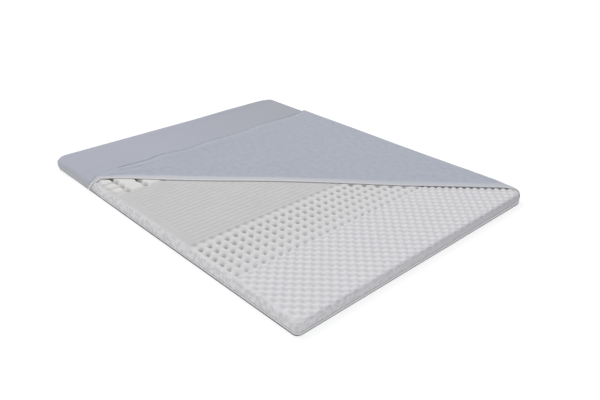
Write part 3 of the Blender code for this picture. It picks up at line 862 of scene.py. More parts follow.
@dataclass(frozen=True)
class TapeFinish:
    """Woven zip tape with a herringbone rib and a row of stitches."""

    name: str = "zip_tape"
    light: tuple = (0.425, 0.440, 0.495)
    dark: tuple = (0.375, 0.390, 0.440)
    rib: float = 0.0012
    stitch: float = 0.0040
    seam: float = 0.0032
    seam_half: float = 0.0005
    relief: float = 0.0003
    roughness: float = 0.8
    sheen: float = 0.1

    def make(self) -> Material:
        """Make the material; its own coordinates run across the tape and along it.

        Returns:
            The material.
        """
        nodes = Nodes(self.name)
        _, across, along = nodes.flat()
        slant = nodes.math("ADD", along, nodes.math("PINGPONG", across, self.rib * 2))
        ribs = nodes.wave("SINE", slant, 2 * math.pi / self.rib)
        dashes = nodes.wave("SINE", along, 2 * math.pi / self.stitch)
        line = {0: across, 1: self.seam, 2: self.seam_half}
        on_line = nodes.add("Math", line, operation="COMPARE").outputs[0]
        sewn = nodes.math("MULTIPLY", nodes.math("GREATER_THAN", dashes, -0.3), on_line)
        raised = nodes.math("ADD", ribs, nodes.math("MULTIPLY", sewn, 2.0))
        normal = nodes.bump(raised, self.relief, 0.5)
        colour = nodes.tint(nodes.scaled(ribs, 0.2, 0.3), self.light, self.dark)
        return nodes.finish(colour, self.roughness, self.sheen, normal)


@dataclass(frozen=True)
class ToothFinish:
    """Moulded zip teeth: satin, in the tape's colour."""

    name: str = "zip_tooth"
    light: tuple = (0.41, 0.43, 0.49)
    dark: tuple = (0.37, 0.39, 0.44)
    speck_scale: float = 300.0
    relief: float = 0.0001
    roughness: float = 0.45

    def make(self) -> Material:
        """Make the material, in object coordinates.

        Returns:
            The material.
        """
        nodes = Nodes(self.name)
        share = nodes.noise(nodes.place(), self.speck_scale)
        colour = nodes.tint(share, self.dark, self.light)
        return nodes.finish(colour, self.roughness, 0.0, nodes.bump(share, self.relief, 0.3))


@dataclass(frozen=True)
class FloorFinish:
    """Plain pale studio floor, lit a little from below as on a light table."""

    name: str = "studio_floor"
    colour: tuple = (0.34, 0.34, 0.34, 1.0)
    glow: float = 0.72

    def make(self) -> Material:
        """Make the material.

        Returns:
            The material.
        """
        nodes = Nodes(self.name)
        values = {
            "Base Color": self.colour, "Roughness": 0.9, "Specular IOR Level": 0.1,
            "Emission Color": (1.0, 1.0, 1.0, 1.0), "Emission Strength": self.glow,
        }
        for key, value in values.items():
            nodes.feed(nodes.shader.inputs[key], value)
        return nodes.material


def new_piece(name: str, points: Array, faces: list, materials: list) -> Piece:
    """Make a mesh object at the origin, shaded smooth.

    Args:
        name: Name of the piece.
        points: Its points, one in each row.
        faces: Its faces, as lists of point numbers.
        materials: Its materials.

    Returns:
        The object.
    """
    mesh = bpy.data.meshes.new(name)
    mesh.from_pydata([tuple(point) for point in points.tolist()], [], faces)
    for material in materials:
        mesh.materials.append(material)
    piece = bpy.data.objects.new(name, mesh)
    bpy.context.scene.collection.objects.link(piece)
    mesh.shade_smooth()
    return piece


def write_flat(piece: Piece, x: Array, y: Array) -> None:
    """Keep each point's place in the flat cloth as the piece's own coordinates.

    Args:
        piece: The piece.
        x: The points' places along X.
        y: The points' places along Y.
    """
    mesh = piece.data
    layer = mesh.uv_layers.new(name="flat")
    corners = np.zeros(len(mesh.loops), np.int32)
    mesh.loops.foreach_get("vertex_index", corners)
    layer.uv.foreach_set("vector", np.column_stack((x, y))[corners].astype(np.float32).ravel())


def thicken(piece: Piece, thickness: float) -> None:
    """Give an open sheet its thickness, half to each side, and apply it.

    Args:
        piece: The sheet; where it has two materials, the second goes on its other face.
        thickness: The thickness.
    """
    solidify = piece.modifiers.new("thickness", "SOLIDIFY")
    solidify.thickness = thickness
    solidify.offset = 0.0
    solidify.use_rim = True
    if len(piece.data.materials) > 1:
        solidify.material_offset = 1
    bpy.ops.object.select_all(action="DESELECT")
    piece.select_set(True)
    bpy.context.view_layer.objects.active = piece
    bpy.ops.object.modifier_apply(modifier=solidify.name)


def grid_lines(low: float, high: float, cell: float) -> Array:
    """Evenly spaced lines from low to high, about cell apart."""
    return np.linspace(low, high, round((high - low) / cell) + 1)


def keep_apart(lines: Array, fixed: list, apart: float) -> Array:
    """Add fixed lines to a set, without the old ones that crowd them.

    Args:
        lines: The old lines.
        fixed: Lines that are wanted as they are.
        apart: The least distance from a fixed line.

    Returns:
        All lines, in rising order.
    """
    wanted = np.array(sorted(fixed))
    far = np.abs(lines[:, None] - wanted[None, :]).min(axis=1) > apart
    return np.sort(np.concatenate((lines[far], wanted)))


class Grid:
    """Square grid over the flat top, with its corners drawn in to the outline's round ones."""

    def __init__(self, lines_x: Array, lines_y: Array) -> None:
        """Set the points up; they run along Y first.

        Args:
            lines_x: Places of the lines along X.
            lines_y: Places of the lines along Y.
        """
        self.counts = (len(lines_x), len(lines_y))
        across, along = np.meshgrid(lines_x, lines_y, indexing="ij")
        self.x, self.y = FORM.round_corners(across.ravel(), along.ravel())

    def faces(self) -> list:
        """Four-sided faces between the points.

        Returns:
            The faces, as tuples of point numbers.
        """
        count_x, count_y = self.counts
        return [
            (i * count_y + j, (i + 1) * count_y + j, (i + 1) * count_y + j + 1, i * count_y + j + 1)
            for i in range(count_x - 1)
            for j in range(count_y - 1)
        ]


class EdgedGrid(Grid):
    """Grid whose outer lines stand for the rows of an edge that turns down or up."""

    def __init__(self, lines_x: Array, lines_y: Array, marks: Array) -> None:
        """Set the points up.

        Args:
            lines_x: Lines along X, the marks at both ends.
            lines_y: Lines along Y, the marks at both ends.
            marks: The outer lines' distances past the outline.
        """
        super().__init__(lines_x, lines_y)
        self.marks = marks
        self.foot_x, self.foot_y, self.normal_x, self.normal_y, self.past = FORM.foot(self.x, self.y)
        self.edge = self.past >= marks[0] - 1e-6

    def at(self, rows: Array) -> Array:
        """Value of each point, from the values of the edge's rows."""
        return np.interp(self.past, self.marks, rows)

    def points(self, out: Array, height: Array) -> Array:
        """Place the points of the piece.

        Args:
            out: How far out from the outline each point of the edge is.
            height: Height of each point.

        Returns:
            The points, one in each row.
        """
        x = np.where(self.edge, self.foot_x + self.normal_x * out, self.x)
        y = np.where(self.edge, self.foot_y + self.normal_y * out, self.y)
        return np.column_stack((x, y, height))


@dataclass(frozen=True)
class Crease:
    """A soft ridge in the cloth, between two places of the plan; a trough has a height below 0."""

    start: tuple
    end: tuple
    height: float
    width: float
    bow: float = 0.0

    def rise(self, x: Array, y: Array) -> Array:
        """Height that the crease adds at plan places.

        Args:
            x: Plan places along X.
            y: Plan places along Y.

        Returns:
            The heights.
        """
        run = np.array(self.end) - np.array(self.start)
        length = float(np.hypot(*run))
        way = run / length
        share = ((x - self.start[0]) * way[0] + (y - self.start[1]) * way[1]) / length
        off = (x - self.start[0]) * way[1] - (y - self.start[1]) * way[0]
        off = off - self.bow * np.sin(math.pi * np.clip(share, 0.0, 1.0))
        ends = ease(share * 3.5) * ease((1 - share) * 2.5)
        return self.height * np.exp(-((off / self.width) ** 2)) * ends


@dataclass
class UpperCover:
    """Upper half of the cover, one cloth: top panel and border, turned back on the diagonal."""

    cell: float = 0.0115
    crowd: float = 0.0035
    crowd_hung: float = 0.0012
    thickness: float = 0.0021
    round_steps: int = 6
    low_steps: int = 4
    roll_steps: int = 9
    band: float = 0.036
    blend: float = 0.02
    flap_rise: float = 0.0006
    flap_creases: tuple = (
        Crease((-0.76, 0.645), (-0.40, 0.560), 0.0042, 0.011, 0.010),
        Crease((-0.74, 0.628), (-0.30, 0.420), 0.0030, 0.016, 0.014),
        Crease((-0.44, 0.520), (-0.36, 0.400), 0.0020, 0.010),
        Crease((-0.50, 0.470), (-0.40, 0.360), 0.0016, 0.011),
        Crease((-0.30, 0.560), (0.30, 0.520), 0.0022, 0.022, -0.012),
        Crease((0.20, 0.480), (0.66, 0.500), 0.0018, 0.024, 0.010),
        Crease((0.72, 0.560), (0.60, -0.300), 0.0016, 0.030, 0.014),
        Crease((0.77, -0.720), (0.40, -0.360), 0.0020, 0.018, -0.010),
        Crease((-0.10, 0.180), (0.44, 0.060), 0.0012, 0.040, 0.020),
    )
    strip_creases: tuple = (
        Crease((-0.79, 0.700), (-0.52, 0.800), 0.0012, 0.022, 0.012),
        Crease((-0.30, 0.900), (0.40, 0.860), -0.0010, 0.035, 0.010),
    )

    def lines(self) -> tuple:
        """Choose the flat cloth's grid lines, closer where it turns over an edge.

        Returns:
            The lines along X and those along Y.
        """
        over = [FORM.quarter_round * step / self.round_steps for step in range(self.round_steps + 1)]
        rim = over + [(FORM.quarter_round + FORM.border) / 2, FORM.border]
        turn_from = FORM.quarter_round + FORM.side_drop
        turn = FORM.low_turn * QUARTER
        low = [turn_from + turn * step / self.low_steps for step in range(self.low_steps + 1)]
        hung = [FORM.mirror_sum - FORM.half_x - out for out in over + low]
        fixed_x = [side * (FORM.half_x + out) for side in (-1, 1) for out in rim]
        fixed_y = [side * (FORM.half_y + out) for side in (-1, 1) for out in rim]
        fixed_y = list(keep_apart(np.array(fixed_y), hung, self.crowd_hung))
        fixed_y += [FORM.half_y + FORM.border, -FORM.half_y - FORM.border]
        lines_x = grid_lines(-FORM.half_x, FORM.half_x, self.cell)
        lines_y = grid_lines(-FORM.half_y, FORM.half_y, self.cell)
        return keep_apart(lines_x, fixed_x, self.crowd), keep_apart(lines_y, list(set(fixed_y)), self.crowd)

    def cut_roll(self, mesh: bpy.types.Mesh) -> None:
        """Part the flat cloth along lines that run with the fold, finely through its roll.

        Args:
            mesh: The flat cloth.
        """
        bm = bmesh.new()
        bm.from_mesh(mesh)
        step = FORM.fold_arc / self.roll_steps
        places = [FORM.fold_arc * number / self.roll_steps for number in range(self.roll_steps + 1)]
        places += [-self.band / 3, -self.band / 9, FORM.fold_arc + 2 * step, FORM.fold_arc + 5 * step]
        band = []
        for face in bm.faces:
            middle = face.calc_center_median()
            past = FORM.fold_start - (middle.x + middle.y) / ROOT2
            if -self.band < past < FORM.fold_arc + self.band:
                band.append(face)
        geom = list(set(band) | {e for f in band for e in f.edges} | {v for f in band for v in f.verts})
        for past in sorted(places):
            place = (FORM.fold_start - past) / ROOT2
            cut = bmesh.ops.bisect_plane(
                bm, geom=geom, dist=0.0004, plane_co=(place, place, 0.0), plane_no=(1.0, 1.0, 0.0)
            )
            geom = cut["geom"]
        near = [item for item in geom if isinstance(item, bmesh.types.BMVert)]
        bmesh.ops.remove_doubles(bm, verts=near, dist=0.0009)
        bm.to_mesh(mesh)
        bm.free()

    def unevenness(self, x: Array, y: Array) -> Array:
        """Slow, shallow waves of a cloth that lies loose.

        Args:
            x: Plan places along X.
            y: Plan places along Y.

        Returns:
            The heights.
        """
        slow = np.sin(9.0 * x + 3.0 * y + 0.7) * np.sin(7.0 * y - 2.0 * x + 1.9)
        quick = np.sin(23.0 * x - 11.0 * y) * np.sin(19.0 * y + 8.0 * x + 0.4)
        return 0.0007 * slow + 0.0003 * quick

    def laid(self, flat_x: Array, flat_y: Array) -> Array:
        """Fold and drape the cloth, creases and all.

        Args:
            flat_x: Places in the flat cloth along X.
            flat_y: Places in the flat cloth along Y.

        Returns:
            The points, one in each row.
        """
        x, y, lift = FORM.fold(flat_x, flat_y)
        past = FORM.fold_start - (flat_x + flat_y) / ROOT2
        flap = sum(crease.rise(x, y - FORM.end_draw(x, y)) for crease in self.flap_creases)
        strip = sum(crease.rise(x, y) for crease in self.strip_creases)
        on_flap = ease((past - FORM.fold_arc) / self.blend)
        on_strip = ease(-past / self.blend) * ease(-FORM.foot(x, y)[4] / 0.05)
        wave = self.unevenness(x, y)
        return FORM.lay(x, y, lift + on_flap * (flap + wave + self.flap_rise) + on_strip * (strip + wave))

    def make(self, outer: Material, inner: Material) -> Piece:
        """Cut the flat cloth, fold it, drape it and give it its thickness.

        Args:
            outer: Finish of the face that is outside when the cover is closed.
            inner: Finish of the other face.

        Returns:
            The cloth.
        """
        grid = Grid(*self.lines())
        points = np.column_stack((grid.x, grid.y, np.zeros_like(grid.x)))
        piece = new_piece("cover_upper", points, grid.faces(), [outer, inner])
        self.cut_roll(piece.data)
        flat_x, flat_y, _ = np.array([vert.co for vert in piece.data.vertices]).T
        write_flat(piece, flat_x, flat_y)
        piece.data.vertices.foreach_set("co", self.laid(flat_x, flat_y).astype(np.float32).ravel())
        piece.data.update()
        thicken(piece, self.thickness)
        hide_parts("cover_top")
        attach(piece, "root")
        return piece


@dataclass
class LowerCover:
    """Lower half of the cover, one cloth: bottom panel turned up into a low wall."""

    thickness: float = 0.0020
    turn: float = 0.0048
    cell: float = 0.020
    crowd: float = 0.002
    turn_steps: int = 4
    wall_steps: int = 3
    mark_step: float = 0.004
    slack: float = 0.0006

    def make(self, outer: Material) -> Piece:
        """Lay the panel, turn its edge up and give it its thickness.

        Args:
            outer: Finish of the cloth.

        Returns:
            The cloth.
        """
        wall_out = FORM.edge_round - self.thickness / 2
        low = self.thickness / 2
        rows = [(wall_out - self.turn, low, 0.0)]
        for step in range(1, self.turn_steps + 1):
            angle = QUARTER * step / self.turn_steps
            out = wall_out - self.turn + self.turn * math.sin(angle)
            rows.append((out, low + self.turn * (1 - math.cos(angle)), 0.0))
        for step in range(1, self.wall_steps + 1):
            rows.append((wall_out, low + self.turn, step / self.wall_steps))
        outs, heights, shares = np.array(rows).T
        marks = rows[0][0] + self.mark_step * np.arange(len(rows))
        lines = []
        for half in (FORM.half_x, FORM.half_y):
            inner = grid_lines(-half, half, self.cell)
            edge = [side * (half + mark) for side in (-1, 1) for mark in marks]
            lines.append(keep_apart(inner, edge, self.crowd))
        grid = EdgedGrid(*lines, marks)
        up_wall = np.where(grid.edge, grid.at(shares), 0.0)
        height = np.where(grid.edge, grid.at(heights), low)
        height = height + up_wall * (FORM.rim_top(grid.x, grid.y) - low - self.turn)
        waves = np.sin(31.0 * (grid.x - grid.y)) * np.sin(17.0 * (grid.x + grid.y) + 0.5)
        points = grid.points(grid.at(outs) + up_wall * self.slack * waves, height)
        piece = new_piece("cover_lower", points, grid.faces(), [outer])
        write_flat(piece, grid.x, grid.y)
        piece.data.flip_normals()
        thicken(piece, self.thickness)
        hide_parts("cover_base")
        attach(piece, "root")
        return piece


@dataclass
class FoamSlab:
    """Profiled foam slab with four zones along its length."""

    cell: float = 0.0050
    top: float = 0.0572
    bottom: float = 0.0024
    inset: float = 0.0045
    open_edge: float = 0.011
    low_bevel: float = 0.003
    margin: float = 0.007
    zone_blend: float = 0.008
    relief_over: float = 0.016
    plain_from: float = -0.040
    press_reach: float = 0.060
    press_until: float = 0.012
    swell: float = 0.0022
    swell_from: float = 0.003
    swell_blend: float = 0.008
    full_centre: float = 0.002
    full_reach: float = 0.014
    crate_cell: float = 0.0258
    crate_first: tuple = (-0.7616, -0.6290)
    crate_depth: float = 0.0103
    crate_grow: float = 0.15
    crate_power: float = 1.25
    crate_full_depth: float = 1.6
    crate_full_power: float = 3.2
    crate_end: float = -0.6100
    pit_pitch: tuple = (0.0471, 0.0500)
    pit_first: tuple = (-0.7560, -0.3500)
    pit_depth: float = 0.034
    pit_fade: float = 0.50
    pit_fade_reach: float = 0.27
    pit_groove: float = 0.20
    pit_cross: float = 0.06
    pit_share: float = 0.74
    pit_full_share: float = 0.36
    pit_power: float = 3.6
    pit_end: float = -0.2960
    groove_pitch: float = 0.0305
    groove_first: float = -0.2440
    groove_depth: float = 0.0015
    groove_left: float = -0.752
    groove_end: float = 0.3350
    channels: tuple = (-0.700, -0.600, -0.500)
    channel_half_width: float = 0.017
    channel_narrow: float = 0.75
    channel_widen: float = 0.45
    channel_low: float = 0.3600
    channel_pitch: float = 0.0625
    channel_depth: float = 0.018
    channel_pit_depth: float = 0.034
    channel_start: float = 0.030
    channel_blend: float = 0.022
    cross_depth: float = 0.007
    cross_power: int = 6

    def covered(self, x: Array, y: Array) -> Array:
        """How far the cover presses the slab's edge round: 0 where it is bare, 1 under the cover."""
        return ease((self.press_reach - FORM.past_cover(x, y)) / (self.press_reach - self.press_until))

    def beside_fold(self, x: Array, y: Array) -> Array:
        """Share of the profile's fullness at the fold, where the ridges meet the cloth."""
        return ease(1.3 - np.abs(FORM.past_cover(x, y) - self.full_centre) / self.full_reach)

    def crate(self, x: Array, y: Array) -> Array:
        """Depth of the egg-crate foot zone: staggered pits between rounded peaks.

        Args:
            x: Plan places along X.
            y: Plan places along Y.

        Returns:
            The depths.
        """
        u = (x - self.crate_first[0]) / self.crate_cell
        v = (self.crate_first[1] - y) / self.crate_cell
        wave = 0.5 + 0.5 * np.cos(math.pi * u) * np.cos(math.pi * v)
        full = self.beside_fold(x, y)
        depth = self.crate_depth * (1 + self.crate_grow * x) * (1 + self.crate_full_depth * full)
        return depth * wave ** (self.crate_power + self.crate_full_power * full)

    def pits(self, x: Array, y: Array) -> Array:
        """Depth of the zone of deep pits in straight rows.

        Args:
            x: Plan places along X.
            y: Plan places along Y.

        Returns:
            The depths.
        """
        a = 0.5 + 0.5 * np.cos(2 * math.pi * (x - self.pit_first[0]) / self.pit_pitch[0])
        b = 0.5 + 0.5 * np.cos(2 * math.pi * (self.pit_first[1] - y) / self.pit_pitch[1])
        shallow = 1 - self.pit_fade * ease((self.pit_first[1] - y) / self.pit_fade_reach)
        shallow = shallow * (y < self.pit_first[1] + self.pit_pitch[1] / 2)
        full = self.beside_fold(x, y)
        groove = self.pit_groove * (1 - full) * a ** 1.5 + self.pit_cross * b
        pit = (self.pit_share + self.pit_full_share * full) * shallow * (a * b) ** self.pit_power
        return self.pit_depth * (groove + pit)

    def grooves(self, x: Array, y: Array) -> Array:
        """Depth of the grooved middle zone."""
        wave = 0.5 + 0.5 * np.cos(2 * math.pi * (y - self.groove_first) / self.groove_pitch)
        return self.groove_depth * wave ** 1.5 * ease((x - self.groove_left) / 0.02)

    def blocks(self, x: Array, y: Array) -> Array:
        """Depth of the zone of big blocks: long channels, deeper where a cross groove meets them.

        Args:
            x: Plan places along X.
            y: Plan places along Y.

        Returns:
            The depths.
        """
        beat = 0.5 + 0.5 * np.cos(2 * math.pi * (y - self.channel_low) / self.channel_pitch)
        deep = self.channel_depth + (self.channel_pit_depth - self.channel_depth) * beat ** 2
        width = self.channel_half_width * (self.channel_narrow + self.channel_widen * beat)
        depth = self.cross_depth * beat ** self.cross_power * ease((self.channels[0] - x) / 0.02)
        for place in self.channels:
            depth = np.maximum(depth, deep * ease(1 - np.abs(x - place) / width))
        return depth * ease((y - self.channel_low + self.channel_start) / self.channel_blend)

    def depth(self, x: Array, y: Array) -> Array:
        """Depth of the profile below the slab's top.

        Args:
            x: Plan places along X.
            y: Plan places along Y.

        Returns:
            The depths, plain under the cover and at the margin.
        """
        depth = self.crate(x, y)
        zones = ((self.crate_end, self.pits), (self.pit_end, self.grooves), (self.groove_end, self.blocks))
        for start, zone in zones:
            share = ease((y - start + self.zone_blend) / (2 * self.zone_blend))
            depth = depth * (1 - share) + zone(x, y) * share
        normal_y, past = FORM.foot(x, y)[3:]
        reach = self.relief_over * ease(-normal_y) * (1 - self.covered(x, y))
        bare = ease((self.plain_from - (x + y) / ROOT2) / self.margin)
        return depth * ease((reach - past) / (2 * self.margin)) * bare

    def edge_rows(self) -> tuple:
        """Profile of the slab's edge, from its top to its bottom.

        Returns:
            Marks that stand for the rows in the grid, then the way out and the height of each row on
            the bare sides, and the same where the cover presses the edge round.
        """
        wall = FORM.edge_round - self.inset
        height = self.top - self.bottom
        profiles = []
        for size in (self.open_edge, wall):
            angles = QUARTER * np.arange(5) / 4
            turn = [(wall - size * (1 - math.sin(angle)), size * (1 - math.cos(angle))) for angle in angles]
            side = [(wall, size + (height - size - self.low_bevel) * step / 5) for step in range(1, 6)]
            profiles.append(np.array(turn + side + [(wall - self.low_bevel, height)]))
        return 0.002 + 0.004 * np.arange(len(profiles[0])), *profiles

    def make(self, foam: Material) -> Piece:
        """Make the slab.

        Args:
            foam: Finish of the foam.

        Returns:
            The slab, closed.
        """
        marks, bare, pressed = self.edge_rows()
        lines = []
        for half in (FORM.half_x, FORM.half_y):
            inner = grid_lines(-half + 0.004, half - 0.004, self.cell)
            lines.append(np.sort(np.concatenate((inner, -half - marks, half + marks))))
        grid = EdgedGrid(*lines, marks)
        share = self.covered(grid.x, grid.y)
        out, drop = (
            grid.at(bare[:, k]) + share * (grid.at(pressed[:, k]) - grid.at(bare[:, k])) for k in (0, 1)
        )
        past_cover = FORM.past_cover(grid.x, grid.y)
        top = self.top + self.swell * ease((past_cover - self.swell_from) / self.swell_blend)
        height = top - np.where(grid.edge, drop, 0.0) - self.depth(grid.x, grid.y)
        points = grid.points(out, FORM.sunk(grid.x, grid.y, height))
        piece = new_piece("foam_slab", points, grid.faces(), [foam])
        write_flat(piece, grid.past, grid.normal_y)
        self.close(piece)
        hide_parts("foam_core")
        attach(piece, "root")
        return piece

    def close(self, piece: Piece) -> None:
        """Close the slab's bottom, and make the plain top under the cover one face.

        Args:
            piece: The slab.
        """
        bm = bmesh.new()
        bm.from_mesh(piece.data)
        bmesh.ops.contextual_create(bm, geom=[edge for edge in bm.edges if edge.is_boundary])
        hidden = []
        for face in bm.faces:
            middle = face.calc_center_median()
            across = (middle.x + middle.y) / ROOT2
            inside = max(abs(middle.x) - FORM.half_x, abs(middle.y) - FORM.half_y) < -0.030
            if middle.z > self.bottom + 0.01 and across > self.plain_from + 0.015 and inside:
                hidden.append(face)
        bmesh.ops.delete(bm, geom=hidden, context="FACES")
        bmesh.ops.contextual_create(bm, geom=[edge for edge in bm.edges if edge.is_boundary])
        bmesh.ops.triangulate(bm, faces=[face for face in bm.faces if len(face.verts) > 4])
        bmesh.ops.recalc_face_normals(bm, faces=list(bm.faces))
        bm.to_mesh(piece.data)
        bm.free()
        piece.data.shade_smooth()


def length_along(line: Array) -> Array:
    """Length of a line of points up to each of them."""
    return np.concatenate(([0.0], np.cumsum(np.linalg.norm(np.diff(line, axis=0), axis=1))))


@dataclass
class Zip:
    """Zip round the cover: two tapes with teeth where it is opened, a closed chain elsewhere."""

    tape_sheet: float = 0.0009
    tape_width: float = 0.0090
    tape_seam: float = 0.0013
    sewn_width: float = 0.0055
    sewn_lift: float = 0.0022
    free_drop: float = 0.0010
    wall_inset: float = 0.001
    lower_rows: tuple = (
        (0.0, -0.0035, -0.0019), (0.0036, 0.0, -0.0018), (0.0062, 0.0022, -0.0015),
        (0.0090, 0.0045, -0.0016), (0.0115, 0.0068, -0.0024),
    )
    start: float = 0.018
    end_clearance: float = 0.012
    corner_lean: float = 20.0
    step: float = 0.0060
    pitch: float = 0.0042
    tooth: tuple = (0.0024, 0.0032, 0.0019)

    def outline(self) -> tuple:
        """Dense points round the flat top's outline, from high Y on the -X side, anticlockwise.

        Returns:
            The feet and the outward normals, one in each row.
        """
        feet = []
        normals = []
        corners = ((-1, 1), (-1, -1), (1, -1), (1, 1), (-1, 1))
        half = np.array((FORM.half_x, FORM.half_y))
        radius = {(side_x, side_y): size - FORM.edge_round for side_x, side_y, size in FORM.radii}
        centre = {sides: np.array(sides) * (half - size) for sides, size in radius.items()}
        for first, second in zip(corners, corners[1:]):
            middle = (np.array(first) + np.array(second)) / 2.0
            normal = middle / np.hypot(*middle)
            low = centre[first] + radius[first] * normal
            high = centre[second] + radius[second] * normal
            count = round(float(np.hypot(*(high - low))) / self.step)
            for share in np.arange(count) / count:
                feet.append(low + share * (high - low))
                normals.append(normal)
            wide = radius[second] + FORM.border
            turns = max(4, round(wide * QUARTER / self.step))
            begin = math.atan2(normal[1], normal[0])
            for angle in begin + np.arange(turns) / turns * QUARTER:
                way = np.array((math.cos(angle), math.sin(angle)))
                feet.append(centre[second] + radius[second] * way)
                normals.append(way)
        return np.array(feet), np.array(normals)

    def stretch(self, feet: Array, normals: Array, past: Array, run: Run) -> tuple:
        """Pick a stretch of the outline.

        Args:
            feet: Points of the outline.
            normals: Its outward normals.
            past: Distance of each from the fold.
            run: The stretch that is wanted.

        Returns:
            The stretch's feet and normals, in order.
        """
        keep = past > FORM.fold_arc + self.start if run is Run.OPEN else past < -self.end_clearance
        first = int(np.argmax(keep & ~np.roll(keep, 1)))
        order = (first + np.arange(int(keep.sum()))) % len(keep)
        return feet[order], normals[order]

    def strip(self, name: str, rows: list, flat: Array, tape: Material) -> Piece:
        """Join rows of points into a thin tape.

        Args:
            name: Name of the piece.
            rows: Arrays of points, from one edge of the tape to the other.
            flat: Distance of each row from the sewn edge.
            tape: Finish of the tape.

        Returns:
            The tape.
        """
        count = len(rows[0])
        length = length_along(rows[-1])
        faces = [
            (i * count + j, (i + 1) * count + j, (i + 1) * count + j + 1, i * count + j + 1)
            for i in range(len(rows) - 1)
            for j in range(count - 1)
        ]
        piece = new_piece(name, np.concatenate(rows), faces, [tape])
        write_flat(piece, np.repeat(flat, count), np.tile(length, len(rows)))
        thicken(piece, self.tape_sheet)
        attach(piece, "root")
        return piece

    def tooth_mesh(self) -> tuple:
        """Model one tooth: a small block with a drawn-in nose and softened edges.

        Returns:
            Its points and faces, about its root, with X along the zip and Y out of the tape.
        """
        bpy.ops.object.select_all(action="DESELECT")
        bpy.ops.mesh.primitive_cube_add(size=1.0)
        tooth = bpy.context.active_object
        bpy.ops.object.mode_set(mode="EDIT")
        bpy.ops.mesh.select_all(action="SELECT")
        bpy.ops.transform.resize(value=self.tooth)
        bpy.ops.mesh.select_all(action="DESELECT")
        bpy.ops.object.mode_set(mode="OBJECT")
        for polygon in tooth.data.polygons:
            polygon.select = polygon.normal.y > 0.5
        bpy.ops.object.mode_set(mode="EDIT")
        bpy.ops.mesh.select_mode(type="FACE")
        bpy.ops.transform.resize(value=(0.6, 1.0, 0.8))
        bpy.ops.mesh.select_all(action="SELECT")
        bpy.ops.mesh.bevel(offset=0.0004, segments=1)
        bpy.ops.object.mode_set(mode="OBJECT")
        points = np.array([vert.co for vert in tooth.data.vertices])
        faces = [list(polygon.vertices) for polygon in tooth.data.polygons]
        bpy.data.objects.remove(tooth, do_unlink=True)
        return points, faces

    def set_teeth(self, name: str, line: Array, ways: Array, finish: Material) -> Piece:
        """Set a row of teeth along a line.

        Args:
            name: Name of the piece.
            line: Points that the roots follow.
            ways: Which way the teeth point at each of them.
            finish: Finish of the teeth.

        Returns:
            The row, as one piece.
        """
        points, faces = self.tooth_mesh()
        length = length_along(line)
        marks = np.arange(self.pitch / 2, length[-1], self.pitch)

        def read(rows: Array, places: Array) -> Array:
            """Read rows of vectors at lengths along the line."""
            return np.stack([np.interp(places, length, rows[:, k]) for k in range(3)], axis=1)

        at = read(line, marks)
        way = read(ways, marks)
        along = read(line, marks + 0.001) - read(line, marks - 0.001)
        along /= np.linalg.norm(along, axis=1)[:, None]
        way -= (way * along).sum(axis=1)[:, None] * along
        way /= np.linalg.norm(way, axis=1)[:, None]
        axes = np.stack((along, way, np.cross(along, way)), axis=1)
        placed = (np.einsum("vk,nkc->nvc", points, axes) + at[:, None, :]).reshape(-1, 3)
        starts = range(0, len(placed), len(points))
        all_faces = [[start + number for number in face] for start in starts for face in faces]
        piece = new_piece(name, placed, all_faces, [finish])
        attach(piece, "root")
        return piece

    def make_upper(self, tape: Material, tooth: Material) -> None:
        """Make the tape and teeth on the turned-back cloth's free edge.

        Args:
            tape: Finish of the tape.
            tooth: Finish of the teeth.
        """
        feet, normals = self.outline()
        rim = feet + normals * FORM.border
        feet, normals = self.stretch(feet, normals, FORM.fold_start - rim.sum(axis=1) / ROOT2, Run.OPEN)
        offsets = [-self.sewn_width, -self.sewn_width / 2, 0.0]
        offsets = np.array(offsets + [self.tape_seam + self.tape_width * share for share in (0.4, 0.7, 1.0)])
        rows = []
        for offset in offsets:
            place = feet + normals * (FORM.border + offset)
            x, y, lift = FORM.fold(place[:, 0], place[:, 1])
            drop = self.free_drop * ease(offset / self.tape_width)
            rows.append(FORM.lay(x, y, lift + self.sewn_lift - drop))
        piece = self.strip("tape_upper", rows, offsets + self.sewn_width, tape)
        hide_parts("zip_upper")
        self.set_teeth("teeth_upper", rows[-1], rows[-1] - rows[-2], tooth)

    def make_lower(self, tape: Material, tooth: Material) -> None:
        """Make the tape and teeth that stand on the lower half's rim.

        Args:
            tape: Finish of the tape.
            tooth: Finish of the teeth.
        """
        feet, normals = self.outline()
        wall_out = FORM.edge_round - self.wall_inset
        wall_x, wall_y = (feet + normals * wall_out).T
        past = FORM.past_fold(wall_x, wall_y) + np.where(wall_x > FORM.rim_rise_from, self.start, 0.0)
        feet, normals = self.stretch(feet, normals, past, Run.OPEN)
        lean = FORM.rise_at(*(feet + normals * wall_out).T) * self.corner_lean
        rows = []
        for _, rise, out in self.lower_rows:
            plan = feet + normals * (wall_out + out + max(rise, 0.0) * lean)[:, None]
            rows.append(np.column_stack((plan, FORM.rim_top(*plan.T) + rise)))
        flat = np.array([row[0] for row in self.lower_rows])
        piece = self.strip("tape_lower", rows, flat, tape)
        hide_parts("zip_lower")
        self.set_teeth("teeth_lower", rows[-1], rows[-1] - rows[-2], tooth)

    def make_chain(self, tooth: Material) -> None:
        """Make the closed chain that joins the halves round the other sides.

        Args:
            tooth: Finish of the teeth.
        """
        feet, normals = self.outline()
        past = FORM.past_fold(*(feet + normals * FORM.mid_round).T)
        feet, normals = self.stretch(feet, normals, past, Run.CLOSED)
        plan = feet + normals * (FORM.mid_round - 0.0002)
        line = np.column_stack((plan, np.full(len(plan), (FORM.rim_heights[0][1] + FORM.rim_z) / 2)))
        self.set_teeth("zip_chain", line, np.tile((0.0, 0.0, 1.0), (len(line), 1)), tooth)


